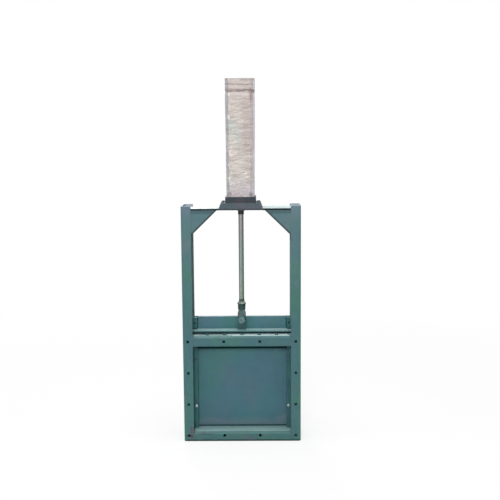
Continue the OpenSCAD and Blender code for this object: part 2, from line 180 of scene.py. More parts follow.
class Shader:
    """The node tree of one finish, round a Principled shader."""

    def __init__(self, name: str) -> None:
        """Starts a material of that name with a plain Principled surface."""
        self.material = bpy.data.materials.new(name)
        self.material.use_nodes = True
        self.tree = self.material.node_tree
        self.tree.nodes.clear()
        self.surface = self.node("ShaderNodeBsdfPrincipled")
        self.node("ShaderNodeOutputMaterial", inputs={"Surface": self.surface.outputs[0]})
        self.place = self.node("ShaderNodeTexCoord").outputs["Object"]
        self._axes = self.node("ShaderNodeSeparateXYZ", inputs={0: self.place}).outputs

    @property
    def x(self) -> Value:
        """The place across the frame."""
        return Value(self, self._axes[0])

    @property
    def y(self) -> Value:
        """The place along the passage."""
        return Value(self, self._axes[1])

    @property
    def z(self) -> Value:
        """The height."""
        return Value(self, self._axes[2])

    def node(self, kind: str, settings: Mapping[str, object] | None = None,
             inputs: Mapping[str | int, Input] | None = None) -> bpy.types.Node:
        """Adds one node.

        Args:
            kind: The node's type.
            settings: Its own properties; a ramp's "stops" are pairs of a place and a colour.
            inputs: Numbers, colours or links, by the socket's identifier, name or number.

        Returns:
            The node, wired up.
        """
        node = self.tree.nodes.new(kind)
        for key, setting in (settings or {}).items():
            if key == "stops":
                self._set_stops(node.color_ramp.elements, setting)
            else:
                setattr(node, key, setting)
        for key, given in (inputs or {}).items():
            self._feed(self._input(node, key), given)
        return node

    def _feed(self, target: bpy.types.NodeSocket, given: Input) -> None:
        """Sets or links one input."""
        source = given.socket if isinstance(given, Value) else given
        if isinstance(source, bpy.types.NodeSocket):
            self.tree.links.new(source, target)
        else:
            target.default_value = source

    @staticmethod
    def _input(node: bpy.types.Node, key: str | int) -> bpy.types.NodeSocket:
        """The input with that identifier, name or number."""
        if isinstance(key, int):
            return node.inputs[key]
        named = (socket for socket in node.inputs if socket.identifier == key)
        return next(named, None) or node.inputs[key]

    @staticmethod
    def _set_stops(elements: bpy.types.ColorRampElements, stops: Sequence[tuple[float, Colour]]) -> None:
        """Gives a ramp its stops."""
        while len(elements) < len(stops):
            elements.new(1.0)
        for element, (place, colour) in zip(elements, stops):
            element.position = place
            element.color = colour

    def math(self, operation: str, *terms: Number) -> Value:
        """A Math node on the terms.

        Args:
            operation: The node's operation.
            terms: Its inputs, in order.

        Returns:
            Its result.
        """
        node = self.node("ShaderNodeMath", {"operation": operation}, dict(enumerate(terms)))
        return Value(self, node.outputs[0])

    def noise(self, size: float, stretch: Sequence[float] = (1, 1, 1), detail: float = 2.0,
              shift: float = 0.0, rough: float = 0.5, lean: float = 0.0) -> Value:
        """Soft noise on the object's own coordinates.

        Args:
            size: About how large its patches are, in metres.
            stretch: How much longer the patches are along each axis.
            detail: How many finer layers it has.
            shift: Moves it, so that two noises of one size differ.
            rough: How strong the finer layers are.
            lean: How far it is turned in the front plane, in degrees.

        Returns:
            The noise, around 0.5.
        """
        place = self.place
        if lean:
            turn = (0, math.radians(lean), 0)
            place = self.node("ShaderNodeMapping", inputs={"Vector": place, "Rotation": turn}).outputs[0]
        scale = [1 / (size * along) for along in stretch]
        mapped = self.node("ShaderNodeMapping", inputs={"Vector": place, "Scale": scale,
                                                        "Location": (shift, -shift, 0.5 * shift)})
        node = self.node("ShaderNodeTexNoise", inputs={"Vector": mapped.outputs[0], "Scale": 1.0,
                                                       "Detail": detail, "Roughness": rough})
        return Value(self, node.outputs[0])

    def mix(self, factor: Number, first: Input, second: Input) -> bpy.types.NodeSocket:
        """A colour between two.

        Args:
            factor: 0 for the first colour and 1 for the second.
            first: A colour.
            second: Another.

        Returns:
            The mixed colour.
        """
        node = self.node("ShaderNodeMix", {"data_type": "RGBA"},
                         {"Factor_Float": factor, "A_Color": first, "B_Color": second})
        return next(socket for socket in node.outputs if socket.identifier == "Result_Color")

    def shade(self, colour: Input, level: Number) -> bpy.types.NodeSocket:
        """A colour made lighter or darker.

        Args:
            colour: The colour.
            level: What it is multiplied by.

        Returns:
            The shaded colour.
        """
        return self.node("ShaderNodeVectorMath", {"operation": "SCALE"},
                         {0: colour, "Scale": level}).outputs[0]

    def edges(self, radius: float) -> tuple[bpy.types.NodeSocket, Value]:
        """The rounded normal near sharp edges, and where those edges are.

        Args:
            radius: How wide the rounding is.

        Returns:
            The normal, and a mask that is 1 on the edges.
        """
        normal = self.node("ShaderNodeBevel", {"samples": PROBES}, {"Radius": radius}).outputs[0]
        flat = self.node("ShaderNodeNewGeometry").outputs["Normal"]
        dot = self.node("ShaderNodeVectorMath", {"operation": "DOT_PRODUCT"}, {0: normal, 1: flat})
        return normal, (1 - Value(self, dot.outputs["Value"])).ramp(0.01, 0.25)

    def upness(self, normal: bpy.types.NodeSocket) -> Value:
        """How far a normal looks up.

        Args:
            normal: The normal.

        Returns:
            From -1 for down to 1 for up.
        """
        return Value(self, self.node("ShaderNodeSeparateXYZ", inputs={0: normal}).outputs["Z"])

    def hollows(self, reach: float) -> Value:
        """Where the surface lies in a corner or under something.

        Args:
            reach: How far the surroundings count.

        Returns:
            A mask that is 1 deep in a corner.
        """
        node = self.node("ShaderNodeAmbientOcclusion", {"samples": PROBES}, {"Distance": reach})
        return (1 - Value(self, node.outputs["AO"])).ramp(0.15, 0.85)

    def facing(self, axis: str) -> Value:
        """How far the surface faces along an axis.

        Args:
            axis: X, Y or Z.

        Returns:
            From -1 to 1.
        """
        normal = self.node("ShaderNodeNewGeometry").outputs["Normal"]
        split = self.node("ShaderNodeSeparateXYZ", inputs={0: normal})
        return Value(self, split.outputs["XYZ".index(axis)])

    def bump(self, height: Number, depth: float, normal: Input | None = None) -> None:
        """Gives the surface a fine relief.

        Args:
            height: The relief, from 0 to 1.
            depth: How deep it is, in metres.
            normal: The normal that it starts from.
        """
        inputs = {"Height": height, "Distance": depth, "Strength": 1.0}
        if normal is not None:
            inputs["Normal"] = normal
        self.wire({"Normal": self.node("ShaderNodeBump", inputs=inputs).outputs[0]})

    def wire(self, inputs: Mapping[str, Input]) -> None:
        """Sets or links sockets of the surface, by name."""
        for name, given in inputs.items():
            self._feed(self.surface.inputs[name], given)


@dataclass(frozen=True)
class Stain:
    """A mark on the paint, round a place on the frame's front."""

    x: float
    z: float
    width: float
    height: float
    colour: Colour
    strength: float = 0.8
    behind: float = -50 * MM
    grain: float = 8 * MM
    soft: float = 1 * MM

    def lay(self, shader: Shader, colour: Input) -> bpy.types.NodeSocket:
        """Lays the mark over a colour.

        Args:
            shader: The finish that it is on.
            colour: The colour below it.

        Returns:
            The colour with the mark.
        """
        across = (shader.x - self.x) * (2 / self.width)
        along = (shader.z - self.z) * (2 / self.height)
        far = shader.math("SQRT", across * across + along * along)
        ragged = far + shader.noise(self.grain, detail=4, shift=self.x * 50).sway(1.8)
        front = shader.y.ramp(self.behind + self.soft, self.behind - self.soft)
        return shader.mix(ragged.ramp(1.1, 0.35) * front * self.strength, colour, self.colour)


@dataclass(frozen=True)
class Paint:
    """Teal enamel on steel: cloudy patches, pale dust with a painted highlight on ledges, dirt with painted
    shade in corners, painted shade under lower edges, a darker band at the floor, a little rust.
    """

    name: str
    colour: Colour
    bluish: Colour
    greenish: Colour
    greyish: Colour
    patch: float = 0.075
    rough: float = 0.42
    rust: float = 0.3
    # The pale colour on up-facing faces is dust and also a painted highlight for the light from above.
    dust: float = 0.5
    dust_and_highlight_colour: Colour = srgb(182, 214, 212)
    dust_and_highlight_from: float = -1.0
    # Darkening in corners and under things: dirt, and painted shade.
    dirt_and_shade: float = 0.6
    rim: float = 2.2 * MM
    fade: tuple[float, float] = (0.15, 0.45)
    stains: tuple[Stain, ...] = ()
    high_colour: Colour = srgb(98, 122, 130)
    thin_colour: Colour = srgb(146, 168, 164)
    # Painted shade on edges that look down.
    underside_shade_colour: Colour = srgb(18, 38, 36)
    foot_colour: Colour = srgb(16, 48, 40)
    dirt_shade_colour: Colour = srgb(30, 48, 46)
    rust_colour: Colour = srgb(92, 62, 44)
    dirt_shade_reach: float = 14 * MM
    # A darker band along the bottom, close to the floor.
    floor_dark_band: tuple[float, float] = (6 * MM, 2.5 * MM)
    peel_depth: float = 0.25 * MM
    soft: float = 1 * MM

    def material(self) -> bpy.types.Material:
        """Builds the finish."""
        shader = Shader(self.name)
        normal, edge = shader.edges(self.rim)
        colour = self._clouds(shader)
        colour = self._wear(shader, colour, normal, edge)
        # Dirt and painted shade where the surface lies in a corner or under something.
        grime_and_shade = shader.hollows(self.dirt_shade_reach) * shader.noise(0.02, detail=3, shift=31.0).ramp(0.2, 0.75)
        colour = shader.mix(grime_and_shade * self.dirt_and_shade, colour, self.dirt_shade_colour)
        rusty = self._rust(shader, edge)
        colour = shader.mix(rusty, colour, self.rust_colour)
        for stain in self.stains:
            colour = stain.lay(shader, colour)
        colour = self._last_coat(shader, colour)
        peel = shader.noise(0.0022, detail=1) * 0.35 + shader.noise(0.009, detail=2, shift=5.0) * 0.65
        shader.bump(peel, self.peel_depth, normal)
        mottle = shader.noise(0.03, detail=3, shift=23.0)
        rough = self.rough + mottle * 0.16 + grime_and_shade * 0.2 + rusty * 0.3
        shader.wire({"Base Color": colour, "Roughness": rough, "Metallic": self._bareness(shader),
                     "Specular IOR Level": 0.4})
        return shader.material

    def _clouds(self, shader: Shader) -> bpy.types.NodeSocket:
        """The cloudy colour of the coat, greyer towards the top of the frame."""
        colour = shader.mix(shader.noise(self.patch, (1, 1, 1.6)).ramp(0.40, 0.62), self.colour, self.bluish)
        colour = shader.mix(shader.noise(self.patch * 0.8, (1, 1, 1.4), shift=7.0).ramp(0.50, 0.70) * 0.8,
                            colour, self.greenish)
        high = shader.z.ramp(*self.fade)
        grey = shader.noise(self.patch * 0.6, (1, 1, 2), shift=19.0).ramp(0.50, 0.72)
        colour = shader.mix(grey * (0.25 + 0.6 * high), colour, self.greyish)
        colour = shader.mix(high * 0.32, colour, self.high_colour)
        return shader.shade(colour, 0.90 + 0.2 * shader.noise(0.016, detail=4, shift=3.0))

    def _wear(self, shader: Shader, colour: Input, normal: bpy.types.NodeSocket,
              edge: Value) -> bpy.types.NodeSocket:
        """Pale dust with a painted highlight on what faces up, painted shade on lower edges, thin paint on
        the other edges, and a darker band near the floor.
        """
        streak = shader.noise(0.03, (3, 1, 1), detail=3, shift=53.0)
        # Dust and painted highlight lie only behind a given depth, which can leave the front edge plain.
        behind_front_strip = shader.y.ramp(self.dust_and_highlight_from - self.soft, self.dust_and_highlight_from + self.soft)
        dusty = shader.facing("Z").ramp(0.5, 0.95) * behind_front_strip * self.dust * (0.6 + 0.8 * streak)
        colour = shader.mix(dusty, colour, self.dust_and_highlight_colour)
        thin = edge * shader.noise(0.012, detail=3).ramp(0.35, 0.7)
        colour = shader.mix(thin * 0.2, colour, self.thin_colour)
        # Painted shade on edges whose rounded normal looks down.
        under = shader.upness(normal).ramp(-0.05, -0.5)
        colour = shader.mix(under * 0.85, colour, self.underside_shade_colour)
        # Darker towards the bottom, close to the floor.
        ground = CAD_BOX[0].z + shader.noise(0.02, detail=3, shift=61.0).sway(5 * MM)
        return shader.mix((shader.z - ground).ramp(*self.floor_dark_band) * 0.9, colour, self.foot_colour)

    def _rust(self, shader: Shader, edge: Value) -> Value:
        """Where specks of rust and chipped edges show."""
        specks = shader.noise(0.005, detail=4, rough=0.7, shift=11.0).ramp(0.66, 0.72)
        fields = shader.noise(0.06, shift=43.0).ramp(0.48, 0.62)
        chips = edge * shader.noise(0.0035, detail=3, rough=0.65).ramp(0.60, 0.66)
        return shader.math("MAXIMUM", specks * fields * 0.6, chips) * self.rust

    def _last_coat(self, shader: Shader, colour: Input) -> Input:
        """What lies over everything; plain paint has nothing."""
        return colour

    def _bareness(self, shader: Shader) -> Number:
        """Where bare metal shows; nowhere under plain paint."""
        return 0.0


@dataclass(frozen=True)
class EdgedPaint(Paint):
    """The same enamel on a plate whose cut edge is dark, but bare grey under the cylinder."""

    dark_edge: Colour = srgb(24, 34, 40)
    bare_edge: Colour = srgb(88, 94, 102)
    bare_half: float = 53 * MM
    front: float = -1.0
    rim_band: tuple[float, float] = (15 * MM, 9 * MM)

    def _last_coat(self, shader: Shader, colour: Input) -> Input:
        """The cut edge, and a ragged dark rim beside it."""
        middle = abs(shader.x).ramp(self.bare_half + self.soft, self.bare_half - self.soft)
        ragged = shader.y + shader.noise(0.012, detail=3, shift=73.0).sway(10 * MM)
        rim = (ragged - self.front).ramp(*self.rim_band) * (1 - middle)
        colour = shader.mix(rim * 0.8, colour, self.dark_edge)
        edge = shader.mix(middle, self.dark_edge, self.bare_edge)
        return shader.mix(self._cut(shader) * 0.97, colour, edge)

    def _bareness(self, shader: Shader) -> Number:
        """The dark stretches of the cut edge."""
        outside = abs(shader.x).ramp(self.bare_half - self.soft, self.bare_half + self.soft)
        return self._cut(shader) * outside * 0.9

    @staticmethod
    def _cut(shader: Shader) -> Value:
        """Where the plate's cut edge is: all that looks neither up nor down."""
        return 1 - abs(shader.facing("Z")).ramp(0.2, 0.5)


@dataclass(frozen=True)
class GussetPaint(Paint):
    """The enamel of a corner gusset: painted shade along its slanting edge and the top plate's painted
    shadow close under it.
    """

    corner: tuple[float, float] = (0.0, 0.0)
    top: float = 0.0
    slope: float = 1.0
    slant_shade_colour: Colour = srgb(20, 34, 40)
    slant_shade_band: tuple[float, float] = (8 * MM, 3.5 * MM)
    plate_shadow_colour: Colour = srgb(30, 52, 58)
    plate_shadow_band: tuple[float, float] = (11 * MM, 5 * MM)

    def _last_coat(self, shader: Shader, colour: Input) -> Input:
        """The two bands of painted shade."""
        half, low = self.corner
        inside = abs(shader.x) - half + (shader.z - low) * self.slope
        ragged = shader.noise(0.012, detail=3, shift=71.0).sway(2 * MM)
        # Painted shade along the slanting edge.
        colour = shader.mix((inside + ragged).ramp(*self.slant_shade_band) * 0.8, colour, self.slant_shade_colour)
        # The top plate's painted shadow, close under it.
        below = self.top - shader.z + ragged
        return shader.mix(below.ramp(*self.plate_shadow_band) * 0.5, colour, self.plate_shadow_colour)


@dataclass(frozen=True)
class PostPaint(Paint):
    """The enamel of a post: painted light inside its back flange, and a painted highlight near that face's
    top end.
    """

    back: float = 0.0
    top: float = 0.0
    inside_light_band: tuple[float, float] = (12 * MM, 8 * MM)
    inside_light_colour: Colour = srgb(140, 166, 168)
    top_highlight_colour: Colour = srgb(196, 202, 210)
    top_highlight_band: tuple[float, float] = (14 * MM, 7 * MM)
    end_colour: Colour = srgb(106, 116, 134)
    end_band: tuple[float, float] = (40 * MM, 5 * MM)

    def _last_coat(self, shader: Shader, colour: Input) -> Input:
        """The painted light on the back flange's inside, and the top end."""
        # Painted light on the inside face of the back flange.
        behind = (self.back - shader.y).ramp(*self.inside_light_band)
        inside = behind * shader.facing("Y").ramp(-0.4, -0.8)
        colour = shader.mix(inside * 0.65, colour, self.inside_light_colour)
        below = self.top - shader.z + shader.noise(0.012, detail=3, shift=79.0).sway(8 * MM)
        # A painted highlight at the top of that inside face.
        colour = shader.mix(below.ramp(*self.top_highlight_band) * inside * 0.85, colour, self.top_highlight_colour)
        return shader.mix(below.ramp(*self.end_band) * 0.4, colour, self.end_colour)


@dataclass(frozen=True)
class LippedPaint(Paint):
    """The enamel of the gate's carrier, whose front lip lies dark in its own shade."""

    lip: float = 0.0
    lip_band: tuple[float, float] = (1.2 * MM, 0.4 * MM)
    lip_colour: Colour = srgb(34, 66, 66)

    def _last_coat(self, shader: Shader, colour: Input) -> Input:
        """The lip."""
        near = (shader.y - self.lip).ramp(*self.lip_band)
        return shader.mix(near * shader.facing("Y").ramp(-0.4, -0.8) * 0.3, colour, self.lip_colour)


@dataclass(frozen=True)
class Metal:
    """Bare, plated or anodised metal with fine scratches, a dull film of oil and dust, and grime with
    painted shade in its hollows.
    """

    name: str
    colour: Colour
    tint: Colour
    metallic: float = 0.9
    rough: float = 0.3
    grain: tuple[float, float, float] = (1, 1, 1)
    wear: Colour = srgb(170, 176, 172)
    grime_and_shade: float = 0.5
    blotches: float = 0.0
    stains: tuple[Stain, ...] = ()
    grime_shade_colour: Colour = srgb(28, 34, 33)
    rim: float = 0.5 * MM
    grime_shade_reach: float = 6 * MM
    scratch_depth: float = 0.06 * MM

    def material(self) -> bpy.types.Material:
        """Builds the finish."""
        shader = Shader(self.name)
        colour = shader.mix(shader.noise(0.02, detail=3).ramp(0.38, 0.64), self.colour, self.tint)
        if self.blotches:
            spot = shader.noise(0.0045, detail=3, rough=0.7, shift=13.0).ramp(0.35, 0.65)
            colour = shader.shade(colour, 1 - self.blotches + 2 * self.blotches * spot)
        for stain in self.stains:
            colour = stain.lay(shader, colour)
        scratches = shader.noise(0.0012, self.grain, detail=3, shift=2.0)
        colour = shader.shade(colour, 0.86 + 0.28 * scratches)
        normal, edge = shader.edges(self.rim)
        colour = shader.mix(edge * shader.noise(0.004).ramp(0.35, 0.65) * 0.5, colour, self.wear)
        # Grime and painted shade in the hollows.
        hollow = shader.hollows(self.grime_shade_reach) * self.grime_and_shade
        colour = shader.mix(hollow, colour, self.grime_shade_colour)
        shader.bump(scratches, self.scratch_depth, normal)
        shader.wire({"Base Color": colour, "Metallic": self.metallic,
                     "Roughness": self.rough + scratches * 0.12 + hollow * 0.25})
        return shader.material


@dataclass(frozen=True)
class RodSteel:
    """The ground and plated rod: bright, with fine turned lines, greener lower down and pinker higher up, a
    painted highlight stripe on its left and painted shade on its right.
    """

    low: float
    high: float
    lower_tint: Colour = srgb(128, 148, 128)
    plain: Colour = srgb(132, 150, 148)
    upper: Colour = srgb(158, 152, 156)
    glint: Colour = srgb(190, 200, 196)
    shaded: Colour = srgb(84, 96, 92)
    line_depth: float = 0.02 * MM

    def material(self) -> bpy.types.Material:
        """Builds the finish."""
        shader = Shader("rod_steel")
        along = (shader.z - self.low) * (1 / (self.high - self.low))
        wobble = along + shader.noise(0.03, (1, 1, 2)).sway(0.25)
        # Greener lower down and pinker higher up.
        colour = shader.mix(wobble.ramp(0.05, 0.45), self.lower_tint, self.plain)
        colour = shader.mix(wobble.ramp(0.55, 0.95), colour, self.upper)
        streaks = shader.noise(0.0015, (1, 1, 30), detail=3)
        lines = shader.noise(0.0006, (12, 12, 1), detail=2, shift=4.0)
        colour = shader.shade(colour, 0.88 + 0.24 * streaks)
        # A painted highlight stripe down the left side, and painted shade down the right side.
        stripe = shader.facing("X").band(-0.45, 0.42, 0.1)
        colour = shader.mix(stripe * 0.45, colour, self.glint)
        colour = shader.mix(shader.facing("X").ramp(0.2, 0.9) * 0.5, colour, self.shaded)
        shader.bump(lines, self.line_depth)
        shader.wire({"Base Color": colour, "Metallic": 0.85, "Roughness": 0.24 + streaks * 0.14})
        return shader.material


@dataclass(frozen=True)
class Coupling:
    """Oiled black steel with a painted highlight round its chamfer."""

    chamfer_low: float
    chamfer_high: float
    dark: Colour = srgb(22, 46, 42)
    pale: Colour = srgb(38, 68, 60)
    chamfer_highlight: Colour = srgb(150, 168, 156)
    rim_colour: Colour = srgb(120, 136, 128)
    rim: float = 0.4 * MM
    turned_depth: float = 0.04 * MM

    def material(self) -> bpy.types.Material:
        """Builds the finish."""
        shader = Shader("coupling_steel")
        colour = shader.mix(shader.noise(0.012, detail=3).ramp(0.35, 0.65), self.dark, self.pale)
        middle = (self.chamfer_low + self.chamfer_high) / 2
        reach = (self.chamfer_high - self.chamfer_low) / 2
        # A painted highlight round the chamfer.
        lit_chamfer = shader.z.band(middle, reach * 1.15, reach * 0.7)
        colour = shader.mix(lit_chamfer * shader.noise(0.006, shift=3.0).ramp(0.2, 0.6), colour, self.chamfer_highlight)
        normal, edge = shader.edges(self.rim)
        colour = shader.mix(edge * 0.15, colour, self.rim_colour)
        turned = shader.noise(0.0008, (8, 8, 1), detail=2)
        shader.bump(turned, self.turned_depth, normal)
        shader.wire({"Base Color": colour, "Metallic": 0.25, "Roughness": 0.38 + turned * 0.16})
        return shader.material


@dataclass(frozen=True)
class Moulded:
    """A plastic or rubber part: even colour, faint mottling, dust in its corners."""

    name: str
    colour: Colour
    dust: Colour
    rough: float
    gloss: float = 0.5
    rim: float = 0.5 * MM
    dust_reach: float = 8 * MM
    grain_depth: float = 0.08 * MM

    def material(self) -> bpy.types.Material:
        """Builds the finish."""
        shader = Shader(self.name)
        colour = shader.mix(shader.noise(0.01, detail=4).ramp(0.3, 0.7) * 0.15, self.colour, self.dust)
        normal, edge = shader.edges(self.rim)
        dusty = shader.hollows(self.dust_reach) * 0.5 + edge * 0.2
        colour = shader.mix(dusty * shader.noise(0.006, detail=3).ramp(0.3, 0.7), colour, self.dust)
        shader.bump(shader.noise(0.0014, detail=3), self.grain_depth, normal)
        shader.wire({"Base Color": colour, "Roughness": self.rough + dusty * 0.2,
                     "Specular IOR Level": self.gloss})
        return shader.material


@dataclass(frozen=True)
class FilmFinish:
    """Cloudy stretch film in several turns, which shows a little of the cylinder under it.

    A rope is a band of painted shade in a gather round the film: its height as a share of the film's, how
    far it reaches to each side, and its strength.
    """

    axis_x: float
    front: float
    low: float
    high: float
    half_width: float
    ropes: tuple[tuple[float, float, float], ...] = (
        (0.896, 0.017, 0.7), (0.903, 0.006, 0.5), (0.949, 0.010, 0.6))
    nut_across: float = 24.5 * MM
    nut_rise: float = 7 * MM
    stain_depth: float = 12 * MM
    relief: float = 1.3 * MM
    pale_colour: Colour = srgb(201, 192, 184)
    pink_colour: Colour = srgb(184, 174, 171)
    upper_colour: Colour = srgb(174, 160, 156)
    green_colour: Colour = srgb(178, 186, 178)
    brown_colour: Colour = srgb(168, 152, 148)
    sheen_tint_colour: Colour = srgb(176, 190, 172)
    foot_colour: Colour = srgb(194, 188, 198)
    crease_shade_colour: Colour = srgb(150, 134, 130)
    lit_colour: Colour = srgb(236, 234, 227)
    glint_colour: Colour = srgb(246, 246, 240)
    nut_colour: Colour = srgb(110, 104, 112)
    side_shade_colour: Colour = srgb(134, 114, 110)
    fold_colour: Colour = srgb(176, 173, 181)
    fold_shade: Colour = srgb(128, 114, 116)
    fold_light: Colour = srgb(226, 224, 234)
    left_fold: Colour = srgb(164, 165, 171)
    left_light: Colour = srgb(250, 249, 242)
    left_shade: Colour = srgb(132, 124, 124)
    edge_colour: Colour = srgb(138, 130, 132)
    rope_shade_colour: Colour = srgb(116, 100, 96)
    rim_colour: Colour = srgb(146, 136, 134)
    ledge_highlight_colour: Colour = srgb(230, 226, 220)

    def material(self) -> bpy.types.Material:
        """Builds the finish."""
        shader = Shader("stretch_film")
        height = (shader.z - self.low) * (1 / (self.high - self.low))
        rim = (shader.x - self.axis_x) * (1 / self.half_width)
        cloud = shader.noise(0.05, (1, 1, 1.3), detail=3)
        creases = shader.noise(0.0035, (6, 6, 1), detail=4, rough=0.62, shift=6.0)
        slanted = shader.noise(0.0050, (4, 4, 1), detail=4, rough=0.6, shift=16.0, lean=24)
        slack = shader.noise(0.011, (3, 3, 1), detail=3, shift=2.0)
        tight = shader.noise(0.0040, (1, 1, 9), detail=3, shift=9.0)
        fine = shader.noise(0.0021, (2, 2, 1), detail=2, shift=14.0)
        colour = self._base(shader, height, rim, cloud)
        slack_share = 0.45 + 0.55 * (height + cloud.sway(0.5)).ramp(0.70, 0.45)
        # Painted shade in the creases of three noises, then a painted highlight on the ridges and painted
        # glints on the slanted ones.
        for crease, low, high, strength in ((creases, 0.50, 0.34, 0.45), (slack, 0.46, 0.30, 0.3),
                                            (slanted, 0.46, 0.34, 0.45)):
            colour = shader.mix(crease.ramp(low, high) * slack_share * strength, colour, self.crease_shade_colour)
        colour = shader.mix(creases.ramp(0.58, 0.72) * slack_share * 0.55, colour, self.lit_colour)
        colour = shader.mix(slanted.ramp(0.62, 0.68) * slack_share * 0.6, colour, self.glint_colour)
        colour = shader.shade(colour, 0.86 + 0.28 * fine)
        colour = self._folds(shader, colour, rim, tight)
        colour = self._ropes(shader, colour, height, rim, slack)
        for stain in self._nuts_and_side_shade():
            colour = stain.lay(shader, colour)
        shader.bump(creases * 0.5 + slack * 0.8 + slanted * 0.6, self.relief)
        shader.wire({"Base Color": colour, "Roughness": 0.22 + creases * 0.25,
                     "Alpha": 0.93 + 0.08 * slack, "Specular IOR Level": 0.6})
        return shader.material

    def _nuts_and_side_shade(self) -> tuple[Stain, ...]:
        """The tie rods' nuts, which show through at the film's foot, and painted shade down the right side
        under its rim.
        """
        behind = self.front + self.stain_depth
        nuts = (Stain(self.axis_x + side * self.nut_across, self.low + self.nut_rise, 11 * MM, 13 * MM,
                      self.nut_colour, 0.7, behind) for side in (-1, 1))
        # Painted shade where the gather runs down the right side.
        side_shade = Stain(self.axis_x + 0.72 * self.half_width, self.low + 0.865 * (self.high - self.low),
                      13 * MM, 44 * MM, self.side_shade_colour, 0.85, behind)
        return *nuts, side_shade

    def _base(self, shader: Shader, height: Value, rim: Value, cloud: Value) -> bpy.types.NodeSocket:
        """The film's cloudy colour: pinkish, greenish in the middle, with patches of painted greenish sheen
        low down, and lilac at its foot.
        """
        colour = shader.mix(cloud.ramp(0.35, 0.65), self.pale_colour, self.pink_colour)
        colour = shader.mix(height.ramp(0.5, 0.9) * 0.5, colour, self.upper_colour)
        patch = (height + rim * 0.12 + cloud.sway(0.4)).band(0.50, 0.14, 0.03)
        colour = shader.mix(patch * rim.ramp(0.5, -0.4) * 0.75, colour, self.green_colour)
        brown = (height + cloud.sway(0.6)).band(0.58, 0.32, 0.12) * rim.ramp(-0.1, 0.4)
        colour = shader.mix(brown * 0.6, colour, self.brown_colour)
        # Patches of painted greenish sheen low on the film.
        sheen_patches = shader.noise(0.009, (1.6, 1.6, 0.7), detail=3, shift=45.0).ramp(0.52, 0.66)
        colour = shader.mix(height.band(0.19, 0.08, 0.03) * sheen_patches * 0.6, colour, self.sheen_tint_colour)
        foot = (height + cloud.sway(0.3)).ramp(0.22, 0.04)
        return shader.mix(foot * 0.5, colour, self.foot_colour)

    def _folds(self, shader: Shader, colour: Input, rim: Value, tight: Value) -> bpy.types.NodeSocket:
        """The upright folds at the film's corners: a lilac band at each, bright glints on the left."""
        wavy = rim + tight.sway(0.12)
        broken = shader.noise(0.02, (1, 1, 2), shift=37.0).ramp(0.42, 0.58)
        glints = shader.noise(0.008, (1, 1, 2.5), detail=3, shift=27.0).ramp(0.5, 0.62)
        for share, fold in (
                (wavy.ramp(0.66, 0.84) * 0.45, self.fold_colour),
                (wavy.band(0.72, 0.05, 0.01) * broken * 0.5, self.fold_shade),
                (wavy.band(0.93, 0.05, 0.01) * 0.5, self.fold_light),
                (wavy.ramp(-0.64, -0.84) * 0.62, self.left_fold),
                (wavy.band(-0.74, 0.09, 0.03) * glints * 0.65, self.left_light),
                (wavy.band(-0.83, 0.05, 0.01) * (1 - glints) * 0.5, self.left_shade),
                (abs(wavy).ramp(0.94, 0.99) * broken * 0.5, self.edge_colour)):
            colour = shader.mix(share, colour, fold)
        return colour

    def _ropes(self, shader: Shader, colour: Input, height: Value, rim: Value,
               slack: Value) -> bpy.types.NodeSocket:
        """Painted shade in the gathers below the rear cap's rim, a grey top rim, and a painted highlight
        just below the gathers.
        """
        drift = shader.noise(0.03, (1, 1, 0.4), detail=2, shift=33.0)
        wavy = height + drift.sway(0.035) + slack.sway(0.02) + rim * 0.004
        # Bands of painted shade in the gathers.
        for middle, reach, strength in self.ropes:
            patchy = 0.45 + 0.55 * shader.noise(0.014, shift=middle * 40).ramp(0.40, 0.58)
            rope = wavy.band(middle, reach, reach * 0.25) * patchy * strength
            colour = shader.mix(rope, colour, self.rope_shade_colour)
        colour = shader.mix(height.ramp(0.978, 0.992) * 0.5, colour, self.rim_colour)
        # A painted highlight just below the lowest gather.
        lit = (height + drift.sway(0.05)).band(0.872, 0.014, 0.004)
        return shader.mix(lit * 0.25, colour, self.ledge_highlight_colour)


@contextmanager
def editing(piece: bpy.types.Object) -> Iterator[None]:
    """Opens a piece in edit mode with nothing selected, and closes it again."""
    pick(piece)
    bpy.ops.object.mode_set(mode="EDIT")
    bpy.ops.mesh.select_all(action="DESELECT")
    yield
    bpy.ops.object.mode_set(mode="OBJECT")


def pick(*pieces: bpy.types.Object) -> None:
    """Selects only these pieces; the last one is active."""
    bpy.ops.object.select_all(action="DESELECT")
    for piece in pieces:
        piece.select_set(True)
        bpy.context.view_layer.objects.active = piece


def _select(piece: bpy.types.Object, kind: str, wanted: Callable[[Element], bool]) -> None:
    """Selects, in edit mode, only the elements of a kind that are wanted."""
    bpy.ops.mesh.select_mode(type=kind)
    bpy.ops.mesh.select_all(action="DESELECT")
    shape = bmesh.from_edit_mesh(piece.data)
    elements = {"FACE": shape.faces, "EDGE": shape.edges, "VERT": shape.verts}[kind]
    for element in elements:
        if wanted(element):
            element.select_set(True)
    shape.select_flush_mode()
    bmesh.update_edit_mesh(piece.data)


def select_faces(piece: bpy.types.Object, wanted: Callable[[bmesh.types.BMFace], bool]) -> None:
    """Selects the wanted faces of the piece in edit mode."""
    _select(piece, "FACE", wanted)


def select_edges(piece: bpy.types.Object, wanted: Callable[[bmesh.types.BMEdge], bool]) -> None:
    """Selects the wanted edges of the piece in edit mode."""
    _select(piece, "EDGE", wanted)


def select_points(piece: bpy.types.Object, wanted: Callable[[bmesh.types.BMVert], bool]) -> None:
    """Selects the wanted corners of the piece in edit mode."""
    _select(piece, "VERT", wanted)


def looks_up(face: bmesh.types.BMFace) -> bool:
    """Whether a face looks up."""
    return face.normal.z > 0.9


def looks_down(face: bmesh.types.BMFace) -> bool:
    """Whether a face looks down."""
    return face.normal.z < -0.9


def upright(edge: bmesh.types.BMEdge) -> bool:
    """Whether an edge runs mostly up and down."""
    run = edge.verts[1].co - edge.verts[0].co
    return abs(run.z) > 0.8 * run.length


